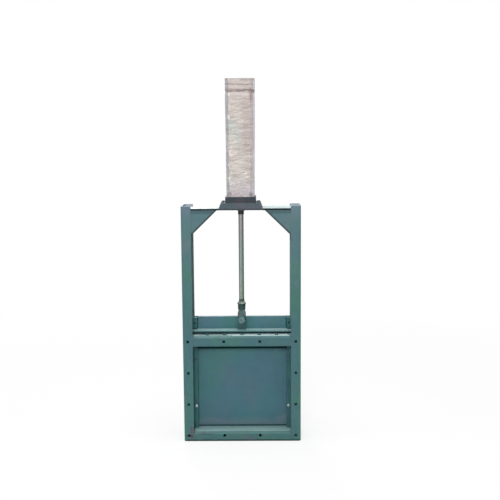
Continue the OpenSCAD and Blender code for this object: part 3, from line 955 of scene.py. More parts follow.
def grow(move: Sequence[float], scale: Sequence[float] = (1, 1, 1),
         centre: Sequence[float] = (0, 0, 0)) -> None:
    """Extrudes the selected region, moves it and resizes it about a centre.

    Args:
        move: How far it moves.
        scale: How much it is resized along each axis.
        centre: What it is resized about.
    """
    bpy.ops.mesh.extrude_region_move(TRANSFORM_OT_translate={"value": move})
    bpy.ops.transform.resize(value=scale, center_override=centre)


def modify(piece: bpy.types.Object, kind: str, **settings: object) -> None:
    """Adds a modifier to the piece and applies it.

    Args:
        piece: The piece.
        kind: The modifier's type.
        **settings: Its properties.
    """
    pick(piece)
    modifier = piece.modifiers.new(kind, kind)
    for key, setting in settings.items():
        setattr(modifier, key, setting)
    bpy.ops.object.modifier_apply(modifier=modifier.name)


def drum(radius: float, height: float, corners: int = DRUM_CORNERS,
         foot: float = 0.0) -> bpy.types.Object:
    """An upright cylinder or prism on the axis, the start of a turned piece.

    Args:
        radius: Its radius, out to its corners.
        height: Its height.
        corners: How many corners it has.
        foot: The height of its lower end.

    Returns:
        The new object.
    """
    bpy.ops.object.select_all(action="DESELECT")
    bpy.ops.mesh.primitive_cylinder_add(vertices=corners, radius=radius, depth=height,
                                        location=(0, 0, foot + height / 2))
    piece = bpy.context.object
    bpy.ops.object.transform_apply(location=True, rotation=True, scale=True)
    return piece


def round_rims(piece: bpy.types.Object, width: float) -> bpy.types.Object:
    """Rounds the sharp rims of a piece, which is returned."""
    modify(piece, "BEVEL", width=width, segments=2, limit_method="ANGLE")
    return piece


def pinch(piece: bpy.types.Object, pitch: float, foot: float, share: float) -> None:
    """Narrows every second ring of an upright piece on the axis, in edit mode.

    Args:
        piece: The piece, cut into rings.
        pitch: How far apart its rings are.
        foot: The height of its lowest ring.
        share: How wide a narrowed ring is left.
    """
    select_points(piece, lambda point: round((point.co.z - foot) / pitch) % 2 == 1)
    bpy.ops.transform.resize(value=(share, share, 1), center_override=(0, 0, foot))


def carve(piece: bpy.types.Object, tool: bpy.types.Object, operation: str) -> None:
    """Cuts a piece with a tool and throws the tool away.

    Args:
        piece: The piece.
        tool: What cuts it.
        operation: INTERSECT, DIFFERENCE or UNION.
    """
    modify(piece, "BOOLEAN", operation=operation, object=tool, solver="EXACT")
    bpy.data.objects.remove(tool)


def join(*pieces: bpy.types.Object) -> bpy.types.Object:
    """Joins pieces into the last one, which is returned."""
    pick(*pieces)
    if len(pieces) > 1:
        bpy.ops.object.join()
    return bpy.context.object


def set_out(master: bpy.types.Object, places: Sequence[Matrix]) -> bpy.types.Object:
    """Copies a master to each place and joins the copies.

    Args:
        master: The piece that repeats; it is removed.
        places: Where the copies go.

    Returns:
        The joined copies.
    """
    copies = []
    for place in places:
        copy = master.copy()
        copy.data = master.data.copy()
        bpy.context.collection.objects.link(copy)
        copy.matrix_world = place
        copies.append(copy)
    bpy.data.objects.remove(master)
    pick(*copies)
    bpy.ops.object.transform_apply(location=True, rotation=True, scale=True)
    return join(*copies)


class Facing(Enum):
    """The direction that a fastener's head looks in."""

    UP = (0, 0, 1)
    DOWN = (0, 0, -1)
    FRONT = (0, -1, 0)

    def at(self, place: Sequence[float], turn: float = 0.0) -> Matrix:
        """The place of an upright master, turned this way.

        Args:
            place: Where its seat goes.
            turn: How far it is turned on its own axis, in degrees.

        Returns:
            The matrix.
        """
        aim = Vector(self.value).to_track_quat("Z", "X").to_matrix().to_4x4()
        return Matrix.Translation(place) @ aim @ Matrix.Rotation(math.radians(turn), 4, "Z")


class Head(Enum):
    """The kinds of head on the gate, each with its width and height as shares of its thread."""

    HEX = (1.63, 0.65)
    BUTTON = (1.8, 0.55)
    NUT = (1.63, 0.8)

    @property
    def width(self) -> float:
        """The width across flats, or a round head's diameter."""
        return self.value[0]

    @property
    def height(self) -> float:
        """The height."""
        return self.value[1]


@dataclass(frozen=True)
class Fastener:
    """A metric screw or nut. It is modelled upright, with its seat at z = 0.

    The washer's and stud's sizes and the key's radius are shares of the thread, the dome's and
    the key's depths are shares of the head's height, the crown is a share of its flats, and
    the round blank that turns its corners off is a hair wider than they are.
    """

    thread: float
    head: Head
    washer: bool = True
    stem: float = 0.0
    flats: float | None = None
    washer_radius: float = 1.1
    washer_thickness: float = 0.2
    washer_rim: float = 0.3
    crown: float = 0.47
    crown_slope: float = 0.56
    blank_share: float = 1.001
    dome: float = 0.85
    dome_steps: int = 6
    key_radius: float = 0.42
    key_floor: float = 0.45
    stud_length: float = 0.45
    stud_rings: int = 6
    thread_root: float = 0.86

    @property
    def across(self) -> float:
        """The width across the flats of a hexagon, or a round head's diameter."""
        return self.flats or self.thread * self.head.width

    @property
    def head_height(self) -> float:
        """The head's height."""
        return self.thread * self.head.height

    def build(self) -> bpy.types.Object:
        """Models it."""
        pieces = []
        foot = 0.0
        if self.washer:
            foot = self.washer_thickness * self.thread
            washer = drum(self.washer_radius * self.thread, foot)
            pieces.append(round_rims(washer, self.washer_rim * foot))
        pieces.append(self._dome(foot) if self.head is Head.BUTTON else self._hexagon(foot))
        if self.head is Head.NUT:
            pieces.append(self._stud(foot))
        if self.stem:
            pieces.append(drum(self.thread / 2, self.stem, THREAD_CORNERS, -self.stem))
        return join(*pieces)

    def _hexagon(self, foot: float) -> bpy.types.Object:
        """A hexagon whose corners are turned off at the top."""
        corner = self.across / math.sqrt(3)
        crown = self.crown * self.across
        drop = self.crown_slope * (corner - crown)
        piece = drum(corner, self.head_height, HEXAGON, foot)
        blank = drum(corner * self.blank_share, self.head_height - drop, CHAMFER_CORNERS, foot)
        with editing(blank):
            select_faces(blank, looks_up)
            grow((0, 0, drop), (crown / corner, crown / corner, 1))
        carve(piece, blank, "INTERSECT")
        return piece

    def _dome(self, foot: float) -> bpy.types.Object:
        """A dome with a hexagon socket."""
        piece = drum(self.across / 2, self.head_height, foot=foot)
        with editing(piece):
            select_faces(piece, looks_up)
            bpy.ops.mesh.bevel(offset=self.head_height * self.dome, segments=self.dome_steps,
                               affect="EDGES")
        floor = foot + self.key_floor * self.head_height
        key = drum(self.key_radius * self.thread, self.head_height, HEXAGON, floor)
        carve(piece, key, "DIFFERENCE")
        return piece

    def _stud(self, foot: float) -> bpy.types.Object:
        """The threaded end of the stud above its nut."""
        top = foot + self.head_height
        length = self.stud_length * self.thread
        stud = drum(self.thread / 2, length, THREAD_CORNERS, top)
        with editing(stud):
            select_edges(stud, upright)
            bpy.ops.mesh.subdivide(number_cuts=self.stud_rings - 1)
            pinch(stud, length / self.stud_rings, top, self.thread_root)
        return stud


@dataclass(frozen=True)
class Weld:
    """A rippled bead of weld from one point to another.

    Its valleys and its two tips are shares of its size.
    """

    start: tuple[float, float, float]
    end: tuple[float, float, float]
    size: float = 2.2 * MM
    ripple: float = 1.6 * MM
    valley: float = 0.86
    tip: float = 0.55

    def build(self) -> bpy.types.Object:
        """Models it."""
        line = Vector(self.end) - Vector(self.start)
        rings = max(4, 2 * round(line.length / self.ripple / 2))
        bead = drum(self.size, line.length, BEAD_CORNERS)
        with editing(bead):
            select_edges(bead, upright)
            bpy.ops.mesh.subdivide(number_cuts=rings - 1)
            pinch(bead, line.length / rings, 0, self.valley)
            for end in (0, line.length):
                select_points(bead, lambda point: abs(point.co.z - end) < TINY)
                bpy.ops.transform.resize(value=(self.tip, self.tip, 1), center_override=(0, 0, end))
        aim = line.to_track_quat("Z", "X").to_matrix().to_4x4()
        bead.matrix_world = Matrix.Translation(self.start) @ aim
        bpy.ops.object.transform_apply(location=True, rotation=True, scale=True)
        return bead

    def mirrored(self) -> "Weld":
        """The same weld on the other side of the frame."""
        start, end = ((-x, y, z) for x, y, z in (self.start, self.end))
        return replace(self, start=start, end=end)


def finish(piece: bpy.types.Object, name: str, body: str,
           material: bpy.types.Material) -> bpy.types.Object:
    """Names, smooths, paints and seats a finished piece.

    Args:
        piece: The piece, at its place.
        name: Its name.
        body: The body that it moves with.
        material: Its finish.

    Returns:
        The piece.
    """
    piece.name = name
    piece.data.name = name
    pick(piece)
    bpy.ops.object.transform_apply(location=True, rotation=True, scale=True)
    bpy.ops.object.shade_smooth_by_angle(angle=math.radians(SMOOTH_ANGLE))
    piece.data.materials.clear()
    piece.data.materials.append(material)
    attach(piece, body)
    LOG.info("%s rides on %s, %d faces", name, body, len(piece.data.polygons))
    return piece


def dress(nodes: Sequence[str], material: bpy.types.Material) -> None:
    """Gives CAD nodes a finish."""
    for name in nodes:
        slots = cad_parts[name].data.materials
        slots.clear()
        slots.append(material)
    LOG.info("%s on %s", material.name, ", ".join(nodes))


@dataclass(frozen=True)
class Palette:
    """The finishes of the whole gate."""

    paint: bpy.types.Material
    post_paint: bpy.types.Material
    gusset_paint: bpy.types.Material
    head_paint: bpy.types.Material
    sill_paint: bpy.types.Material
    plate_paint: bpy.types.Material
    gate_paint: bpy.types.Material
    carrier_paint: bpy.types.Material
    lug_shade_paint: bpy.types.Material
    guide_paint: bpy.types.Material
    cap_alloy: bpy.types.Material
    foot_alloy: bpy.types.Material
    zinc: bpy.types.Material
    pin_steel: bpy.types.Material
    screw_steel: bpy.types.Material
    black_steel: bpy.types.Material
    bare_alloy: bpy.types.Material
    clevis_steel: bpy.types.Material
    plastic: bpy.types.Material
    packing_shade_rubber: bpy.types.Material
    seal_rubber: bpy.types.Material
    black_plastic: bpy.types.Material

    @classmethod
    def mixed(cls) -> "Palette":
        """Mixes every finish."""
        return cls(**cls._frame_paints(), **cls._gate_paints(), **cls._alloys(), **cls._steels(),
                   **cls._mouldings())

    @staticmethod
    def _frame_stains() -> tuple[Stain, ...]:
        """Brown and black marks round the sill's left end, and green rims down both posts."""
        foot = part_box("post_left")[0].z
        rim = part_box("post_right")[1].x - 1 * MM
        inner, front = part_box("sill_bar")[0].x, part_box("sill_bar")[0].y
        long = {"behind": front + 4 * MM, "grain": 30 * MM}
        return (
            Stain(inner - 5 * MM, foot + 24 * MM, 13 * MM, 52 * MM, srgb(84, 74, 84), strength=0.8),
            Stain(inner - 13 * MM, foot + 13 * MM, 26 * MM, 8 * MM, srgb(40, 44, 48), strength=0.75),
            Stain(inner + 30 * MM, foot + 19 * MM, 44 * MM, 9 * MM, srgb(58, 76, 76), strength=0.65),
            Stain(15 * MM, foot + 9 * MM, 60 * MM, 12 * MM, srgb(88, 92, 100), strength=0.5),
            Stain(rim, foot + 200 * MM, 11 * MM, 640 * MM, srgb(46, 116, 88), strength=0.65, **long),
            Stain(-rim, foot + 20 * MM, 11 * MM, 240 * MM, srgb(46, 114, 88), strength=0.6, **long),
        )

    @classmethod
    def _frame_paints(cls) -> dict[str, bpy.types.Material]:
        """The enamels of the frame, by their use."""
        teal = {"colour": srgb(58, 105, 103), "bluish": srgb(58, 99, 106), "greenish": srgb(56, 107, 94),
                "greyish": srgb(86, 103, 110)}
        stains = cls._frame_stains()
        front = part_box("sill_bar")[0].y
        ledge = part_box("head_bar")[1].z
        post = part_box("post_left")[1]
        low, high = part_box("gusset_front_left")
        # The ledge's painted highlight, made duller over its left part.
        duller_left_highlight = Stain(-72 * MM, ledge, 120 * MM, 16 * MM, srgb(92, 128, 128), strength=0.6, grain=20 * MM)
        return {
            "paint": Paint("teal_enamel", **teal, stains=stains).material(),
            "post_paint": PostPaint("post_enamel", **teal, stains=stains, dust=0.1, back=post.y,
                                    top=post.z).material(),
            "gusset_paint": GussetPaint("gusset_enamel", **teal, dust=0.1, corner=(abs(low.x), low.z),
                                        top=high.z, slope=(high.x - low.x) / (high.z - low.z)).material(),
            # The head bar's ledge and the top plate take pale dust and a strong painted highlight on what
            # faces up.
            "head_paint": Paint("head_enamel", **teal, dust=1.0, dust_and_highlight_colour=srgb(208, 232, 234),
                                dust_and_highlight_from=front + 4 * MM, dirt_and_shade=0.2, stains=(duller_left_highlight,)).material(),
            # The sill's dust and painted highlight start a little behind its front edge.
            "sill_paint": Paint("sill_enamel", **teal, stains=stains, dust_and_highlight_from=front + 5 * MM).material(),
            "plate_paint": EdgedPaint("plate_enamel", **teal, dust=0.7, dust_and_highlight_colour=srgb(204, 220, 222),
                                      front=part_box("top_plate")[0].y).material(),
            "guide_paint": Paint("guide_enamel", srgb(46, 100, 101), srgb(42, 90, 98), srgb(46, 104, 100),
                                 srgb(60, 94, 100), patch=0.03, rust=0.5, dust=0.3, dirt_and_shade=0.3).material(),
        }

    @staticmethod
    def _gate_paints() -> dict[str, bpy.types.Material]:
        """The enamels of the sliding gate, by their use."""
        leaf = {"colour": srgb(60, 112, 119), "bluish": srgb(63, 106, 121), "greenish": srgb(60, 115, 112),
                "greyish": srgb(86, 105, 118), "patch": 0.10, "fade": (0.3, 0.6), "dust": 0.75, "dirt_and_shade": 0.2}
        carrier = {**leaf, "colour": srgb(66, 116, 124), "bluish": srgb(76, 110, 128), "dirt_and_shade": 0.0}
        low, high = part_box("gate_plate")
        worn_foot = Stain(0, low.z, 4 * high.x, 46 * MM, srgb(104, 120, 132), strength=0.6,
                          behind=low.y + 2 * MM, grain=60 * MM)
        return {
            "gate_paint": Paint("gate_enamel", **leaf, stains=(worn_foot,)).material(),
            "carrier_paint": LippedPaint("carrier_enamel", **carrier,
                                         lip=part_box("carrier_angle")[0].y).material(),
            # The lug's darker enamel is painted shade, for the clevis's shade over it.
            "lug_shade_paint": Paint("lug_shaded_enamel", srgb(28, 78, 80), srgb(32, 72, 80), srgb(36, 86, 82),
                               srgb(50, 84, 88), patch=0.02, rust=0.5, dust=0.3, dirt_and_shade=0.5,
                               fade=(0.3, 0.6)).material(),
        }

    @staticmethod
    def _alloys() -> dict[str, bpy.types.Material]:
        """The finishes of the cylinder's alloy pieces, by their use."""
        anodised = {"metallic": 0.25, "rough": 0.45, "grain": (6, 6, 1), "wear": srgb(110, 122, 132)}
        return {
            "cap_alloy": Metal("cap_alloy", srgb(26, 39, 48), srgb(46, 47, 57), **anodised).material(),
            "foot_alloy": Metal("foot_alloy", srgb(60, 78, 84), srgb(76, 78, 88), **anodised).material(),
            "bare_alloy": Metal("bare_alloy", srgb(190, 192, 194), srgb(176, 180, 184), rough=0.28,
                                grain=(6, 6, 1), wear=srgb(214, 216, 218)).material(),
        }

    @staticmethod
    def _steels() -> dict[str, bpy.types.Material]:
        """The finishes of the fasteners, rod end and clevis, by their use."""
        low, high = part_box("clevis_pin")
        pin_z = (low.z + high.z) / 2
        # Two marks on the clevis: painted shade down its right side, and a brownish mark above the pin on
        # its left.
        sides = (Stain(9 * MM, pin_z + 8 * MM, 5 * MM, 34 * MM, srgb(16, 50, 54), strength=0.8),
                 Stain(-9 * MM, pin_z + 16 * MM, 5 * MM, 9 * MM, srgb(92, 78, 74), strength=0.7))
        turned = {"rough": 0.4, "grain": (2, 2, 1)}
        return {
            "zinc": Metal("zinc_plate", srgb(190, 206, 206), srgb(160, 178, 180), metallic=0.7,
                          grain=(2, 2, 1), wear=srgb(220, 228, 226)).material(),
            "pin_steel": Metal("pin_steel", srgb(62, 97, 99), srgb(84, 114, 116), **turned, metallic=0.3,
                               wear=srgb(150, 172, 170), blotches=0.4).material(),
            "screw_steel": Metal("screw_steel", srgb(48, 66, 70), srgb(66, 84, 88), **turned, metallic=0.4,
                                 wear=srgb(110, 126, 130), grime_and_shade=0.4).material(),
            "black_steel": Metal("black_steel", srgb(44, 54, 56), srgb(58, 66, 68), **turned, metallic=0.5,
                                 wear=srgb(110, 118, 120), grime_and_shade=0.4).material(),
            "clevis_steel": Metal("clevis_steel", srgb(62, 91, 92), srgb(80, 98, 101), metallic=0.3,
                                  rough=0.42, grain=(1, 1, 4), wear=srgb(150, 168, 166), grime_and_shade=0.7,
                                  blotches=0.35, stains=sides).material(),
        }

    @staticmethod
    def _mouldings() -> dict[str, bpy.types.Material]:
        """The finishes of the plastic and rubber pieces, by their use."""
        dull = {"rough": 0.8, "gloss": 0.1}
        return {
            "plastic": Moulded("seat_plastic", srgb(206, 206, 198), srgb(140, 140, 130),
                               rough=0.45).material(),
            # The packings are dark rubber; their teal black also serves as painted shade under the head bar.
            "packing_shade_rubber": Moulded("packing_rubber", srgb(4, 44, 44), srgb(14, 68, 66), **dull).material(),
            "seal_rubber": Moulded("seal_rubber", srgb(44, 76, 82), srgb(66, 96, 100), **dull).material(),
            "black_plastic": Moulded("black_plastic", srgb(22, 22, 25), srgb(60, 62, 62),
                                     rough=0.4).material(),
        }


@dataclass(frozen=True)
class GateFrame:
    """The welded frame: posts, bars, plates, guides and seats, with its welds and screws.

    Each pair of guide screws is a thread and a height over the frame's foot.
    """

    palette: Palette
    weld_size: float = 2.2 * MM
    ledge_weld: float = 1.6 * MM
    ledge_weld_run: tuple[float, float] = (1 * MM, 9 * MM)
    ledge_weld_ends: tuple[float, float] = (3 * MM, 2 * MM)
    post_weld: float = 1.2 * MM
    gusset_tip: float = 4 * MM
    bend: float = 12 * MM
    flange_overlap: tuple[float, float] = (1 * MM, 6 * MM)
    flange_weld: float = 2 * MM
    flange_weld_inset: float = 1.8 * MM
    flange_top_start: float = 8 * MM
    ledge_screw: float = 5 * MM
    ledge_screw_depth: float = 14 * MM
    ledge_screw_pitch: float = 42.5 * MM
    ledge_screws_aside: int = 2
    guide_screws: tuple[tuple[float, float], ...] = ((4.6 * MM, 80.5 * MM), (3.4 * MM, 200.5 * MM))
    guide_screw_inset: float = 5 * MM
    head_turn: float = 17
    nut_turn: float = 11
    guide_screw_turn: float = 40

    def build(self) -> None:
        """Paints the frame and adds its screws and welds."""
        self._paint()
        self._ledge_screws()
        self._guide_screws()
        self._welds()

    def _paint(self) -> None:
        """Gives each CAD node of the frame its finish."""
        dress(("bottom_plate", "rear_flange", "throat", "rear_head_bar"), self.palette.paint)
        dress(("sill_bar",), self.palette.sill_paint)
        dress(("post_left", "post_right"), self.palette.post_paint)
        dress(("gusset_front_left", "gusset_front_right", "gusset_rear_left", "gusset_rear_right"),
              self.palette.gusset_paint)
        dress(("head_bar",), self.palette.head_paint)
        dress(("top_plate",), self.palette.plate_paint)
        dress(("guide_left", "guide_right"), self.palette.guide_paint)
        dress(("rear_guide_left", "rear_guide_right", "seat_head", "seat_sill"), self.palette.plastic)
        # The front packing's dark rubber also serves as painted shade under the head bar.
        dress(("front_packing", "rear_packing"), self.palette.packing_shade_rubber)
        dress(("sill_seal",), self.palette.seal_rubber)

    def _ledge_screws(self) -> None:
        """The row of hexagon screws on the head bar's ledge, with their nuts below it."""
        low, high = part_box("head_bar")
        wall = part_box("bottom_plate")[1].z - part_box("bottom_plate")[0].z
        y = low.y + self.ledge_screw_depth
        aside = self.ledge_screws_aside
        across = [step * self.ledge_screw_pitch for step in range(-aside, aside + 1)]
        heads = set_out(Fastener(self.ledge_screw, Head.HEX, washer=False).build(),
                        [Facing.UP.at((x, y, high.z), self.head_turn * n) for n, x in enumerate(across)])
        nuts = set_out(Fastener(self.ledge_screw, Head.NUT).build(),
                       [Facing.DOWN.at((x, y, high.z - wall), self.nut_turn * n)
                        for n, x in enumerate(across)])
        finish(join(nuts, heads), "ledge_screws", "frame", self.palette.post_paint)

    def _guide_screws(self) -> None:
        """The screws that hold the front guides: the lower pair is bright, the upper one dull."""
        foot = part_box("post_left")[0].z
        finishes = (("guide_screws_low", "zinc_steel", self.palette.zinc),
                    ("guide_screws_high", "teal_paint", self.palette.pin_steel))
        for (thread, height), (name, slot, material) in zip(self.guide_screws, finishes):
            places = []
            for guide, sign in (("guide_left", 1), ("guide_right", -1)):
                low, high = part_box(guide)
                inner = high.x if sign > 0 else low.x
                place = (inner - sign * self.guide_screw_inset, low.y, foot + height)
                places.append(Facing.FRONT.at(place, self.guide_screw_turn * len(places)))
            screws = set_out(Fastener(thread, Head.BUTTON, washer=False).build(), places)
            finish(screws, name, "frame", material)

    def _welds(self) -> None:
        """The beads of weld that show from some side."""
        out, front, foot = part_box("post_left")[0]
        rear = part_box("post_left")[1].y
        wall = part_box("bottom_plate")[1].z - foot
        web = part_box("guide_left")[0].x
        ledge_low, ledge_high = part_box("head_bar")
        edge = ledge_low.x
        plate_low, plate_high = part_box("top_plate")
        gusset_low, gusset_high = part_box("gusset_front_left")
        flange_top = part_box("rear_flange")[1].z
        gusset_end = gusset_high.x - self.gusset_tip
        round_x, round_y = out + self.flange_weld_inset, rear - self.flange_weld_inset
        near, far = (edge + run for run in self.ledge_weld_run)
        before, after = self.ledge_weld_ends
        short, past = self.flange_overlap
        size = self.weld_size
        left = [
            Weld((near, ledge_low.y + before, ledge_high.z), (far, ledge_high.y - after, ledge_high.z),
                 self.ledge_weld),
            Weld((edge, ledge_low.y + wall, ledge_low.z), (edge, ledge_low.y + wall, ledge_high.z), size),
            Weld((edge, rear, gusset_low.z), (edge, rear, plate_high.z - wall), self.post_weld),
            Weld((web, front + self.bend, plate_high.z), (web, rear - self.bend, plate_high.z), size),
            Weld((edge - short, front + wall, plate_high.z), (web + past, front + wall, plate_high.z), size),
            Weld((round_x, round_y, foot), (round_x, round_y, flange_top), self.flange_weld),
            Weld((out + self.flange_top_start, rear, flange_top), (edge, rear, flange_top), size),
        ]
        for y in (front + wall, rear - wall):
            left.append(Weld((edge, y, gusset_low.z), (edge, y, plate_low.z), size))
            left.append(Weld((edge, y, plate_low.z), (gusset_end, y, plate_low.z), size))
        beads = [weld.build() for one in left for weld in (one, one.mirrored())]
        finish(join(*beads), "frame_welds", "frame", self.palette.paint)


@dataclass(frozen=True)
class GateLeaf:
    """The sliding gate: its plate, carrier, shoes, lug and the linkage up to the rod."""

    palette: Palette
    weld_size: float = 2 * MM
    thread_pitch: float = 1.5 * MM
    thread_turns: int = 4
    thread_steps: int = 32
    thread_rise: float = 0.3 * MM
    coupling_chamfer: float = 4.8 * MM
    pin_flats: float = 16 * MM
    pin_radius: float = 4 * MM
    pin_end: float = 0.6 * MM
    ring_radius: float = 5.6 * MM
    ring_thickness: float = 0.9 * MM
    ring_gap: float = 1 * MM
    ring_rim: float = 0.25 * MM
    boss_radius: float = 4.6 * MM
    boss_height: float = 0.8 * MM
    boss_sunk: float = 0.3 * MM
    boss_rim: float = 0.3 * MM
    leg_weld: float = 1.8 * MM
    leg_weld_gap: float = 2 * MM

    def build(self) -> None:
        """Paints the gate and adds the pivot bolt, the rod's thread and the welds."""
        self._paint()
        self._pivot_bolt()
        self._rod_thread()
        self._welds()

    def _paint(self) -> None:
        """Gives each CAD node of the gate its finish."""
        dress(("gate_plate",), self.palette.gate_paint)
        dress(("carrier_angle",), self.palette.carrier_paint)
        # The lug's darker enamel is painted shade.
        dress(("lug",), self.palette.lug_shade_paint)
        dress(("gate_shoe_left", "gate_shoe_right"), self.palette.guide_paint)
        dress(("clevis",), self.palette.clevis_steel)
        dress(("piston",), self.palette.bare_alloy)
        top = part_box("coupling")[1].z
        dress(("coupling",), Coupling(top - self.coupling_chamfer, top).material())
        dress(("piston_rod",), RodSteel(top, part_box("rod_bush")[0].z).material())

    def _pivot_bolt(self) -> None:
        """The bolt through clevis and lug: chamfered head in front, retaining ring behind."""
        low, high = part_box("clevis_pin")
        seat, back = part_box("clevis")[0].y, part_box("clevis")[1].y
        middle = (low + high) / 2
        thickness = seat - low.y
        head = Fastener(thickness / Head.HEX.height, Head.HEX, washer=False, flats=self.pin_flats).build()
        rod = drum(self.pin_radius, high.y - seat, foot=seat - high.y)
        with editing(rod):
            select_faces(rod, looks_down)
            bpy.ops.mesh.bevel(offset=self.pin_end, segments=2, affect="EDGES")
        ring = drum(self.ring_radius, self.ring_thickness, foot=seat - back - self.ring_gap)
        round_rims(ring, self.ring_rim)
        boss = drum(self.boss_radius, self.boss_height, foot=thickness - self.boss_sunk)
        round_rims(boss, self.boss_rim)
        bolt = set_out(join(rod, ring, boss, head), [Facing.FRONT.at((middle.x, seat, middle.z))])
        finish(bolt, "pivot_bolt", "gate", self.palette.pin_steel)
        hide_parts("clevis_pin")

    def _rod_thread(self) -> None:
        """The last turns of the rod's thread, above the coupling."""
        low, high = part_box("piston_rod")
        axis = (low + high) / 2
        radius = (high.x - low.x) / 2
        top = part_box("coupling")[1].z
        bpy.ops.object.select_all(action="DESELECT")
        bpy.ops.mesh.primitive_circle_add(vertices=3, radius=self.thread_pitch * 0.5, fill_type="NOTHING",
                                          location=(radius, 0, 0), rotation=(math.pi / 2, 0, 0))
        ridge = bpy.context.object
        bpy.ops.object.transform_apply(location=True, rotation=True, scale=True)
        modify(ridge, "SCREW", angle=2 * math.pi, screw_offset=self.thread_pitch,
               iterations=self.thread_turns, steps=self.thread_steps, render_steps=self.thread_steps,
               axis="Z", use_merge_vertices=False)
        with editing(ridge):
            bpy.ops.mesh.select_mode(type="EDGE")
            bpy.ops.mesh.select_non_manifold()
            bpy.ops.mesh.fill()
            bpy.ops.mesh.select_all(action="SELECT")
            bpy.ops.mesh.normals_make_consistent(inside=False)
        ridge.location = (axis.x, axis.y, top + self.thread_rise)
        finish(ridge, "rod_thread", "gate", self.palette.black_steel)

    def _welds(self) -> None:
        """The beads round the lug's foot and at the ends of the carrier's leg."""
        lug_low, lug_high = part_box("lug")
        plate_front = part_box("gate_plate")[0].y
        shoe_low, shoe_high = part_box("gate_shoe_left")
        size = self.weld_size
        foot = lug_low.z
        beads = [Weld((lug_low.x, y, foot), (lug_high.x, y, foot), size) for y in (lug_low.y, lug_high.y)]
        beads += [Weld((x, lug_low.y, foot), (x, lug_high.y, foot), size) for x in (lug_low.x, lug_high.x)]
        leg_end = shoe_high.x + self.leg_weld_gap
        side = Weld((leg_end, plate_front, shoe_low.z), (leg_end, plate_front, shoe_high.z), self.leg_weld)
        built = [weld.build() for weld in (*beads, side, side.mirrored())]
        finish(join(*built), "gate_welds", "gate", self.palette.gate_paint)


@dataclass(frozen=True)
class Crease:
    """One layer of the film's creases: a noise that is squashed into flat, leaning bands."""

    noise: str
    size: float
    squash: tuple[float, float, float]
    lean: float
    strength: float
    level: float

    def press(self, sleeve: bpy.types.Object) -> None:
        """Presses the creases into a plain sleeve."""
        texture = bpy.data.textures.new("creases", self.noise)
        texture.noise_scale = self.size
        if self.noise == "MUSGRAVE":
            texture.musgrave_type = "RIDGED_MULTIFRACTAL"
        guide = bpy.data.objects.new("crease_guide", None)
        bpy.context.collection.objects.link(guide)
        guide.scale = self.squash
        guide.rotation_euler = (0, math.radians(self.lean), 0)
        bpy.context.view_layer.update()
        modify(sleeve, "DISPLACE", texture=texture, texture_coords="OBJECT", texture_coords_object=guide,
               strength=self.strength, mid_level=self.level)
        bpy.data.objects.remove(guide)
        bpy.data.textures.remove(texture)


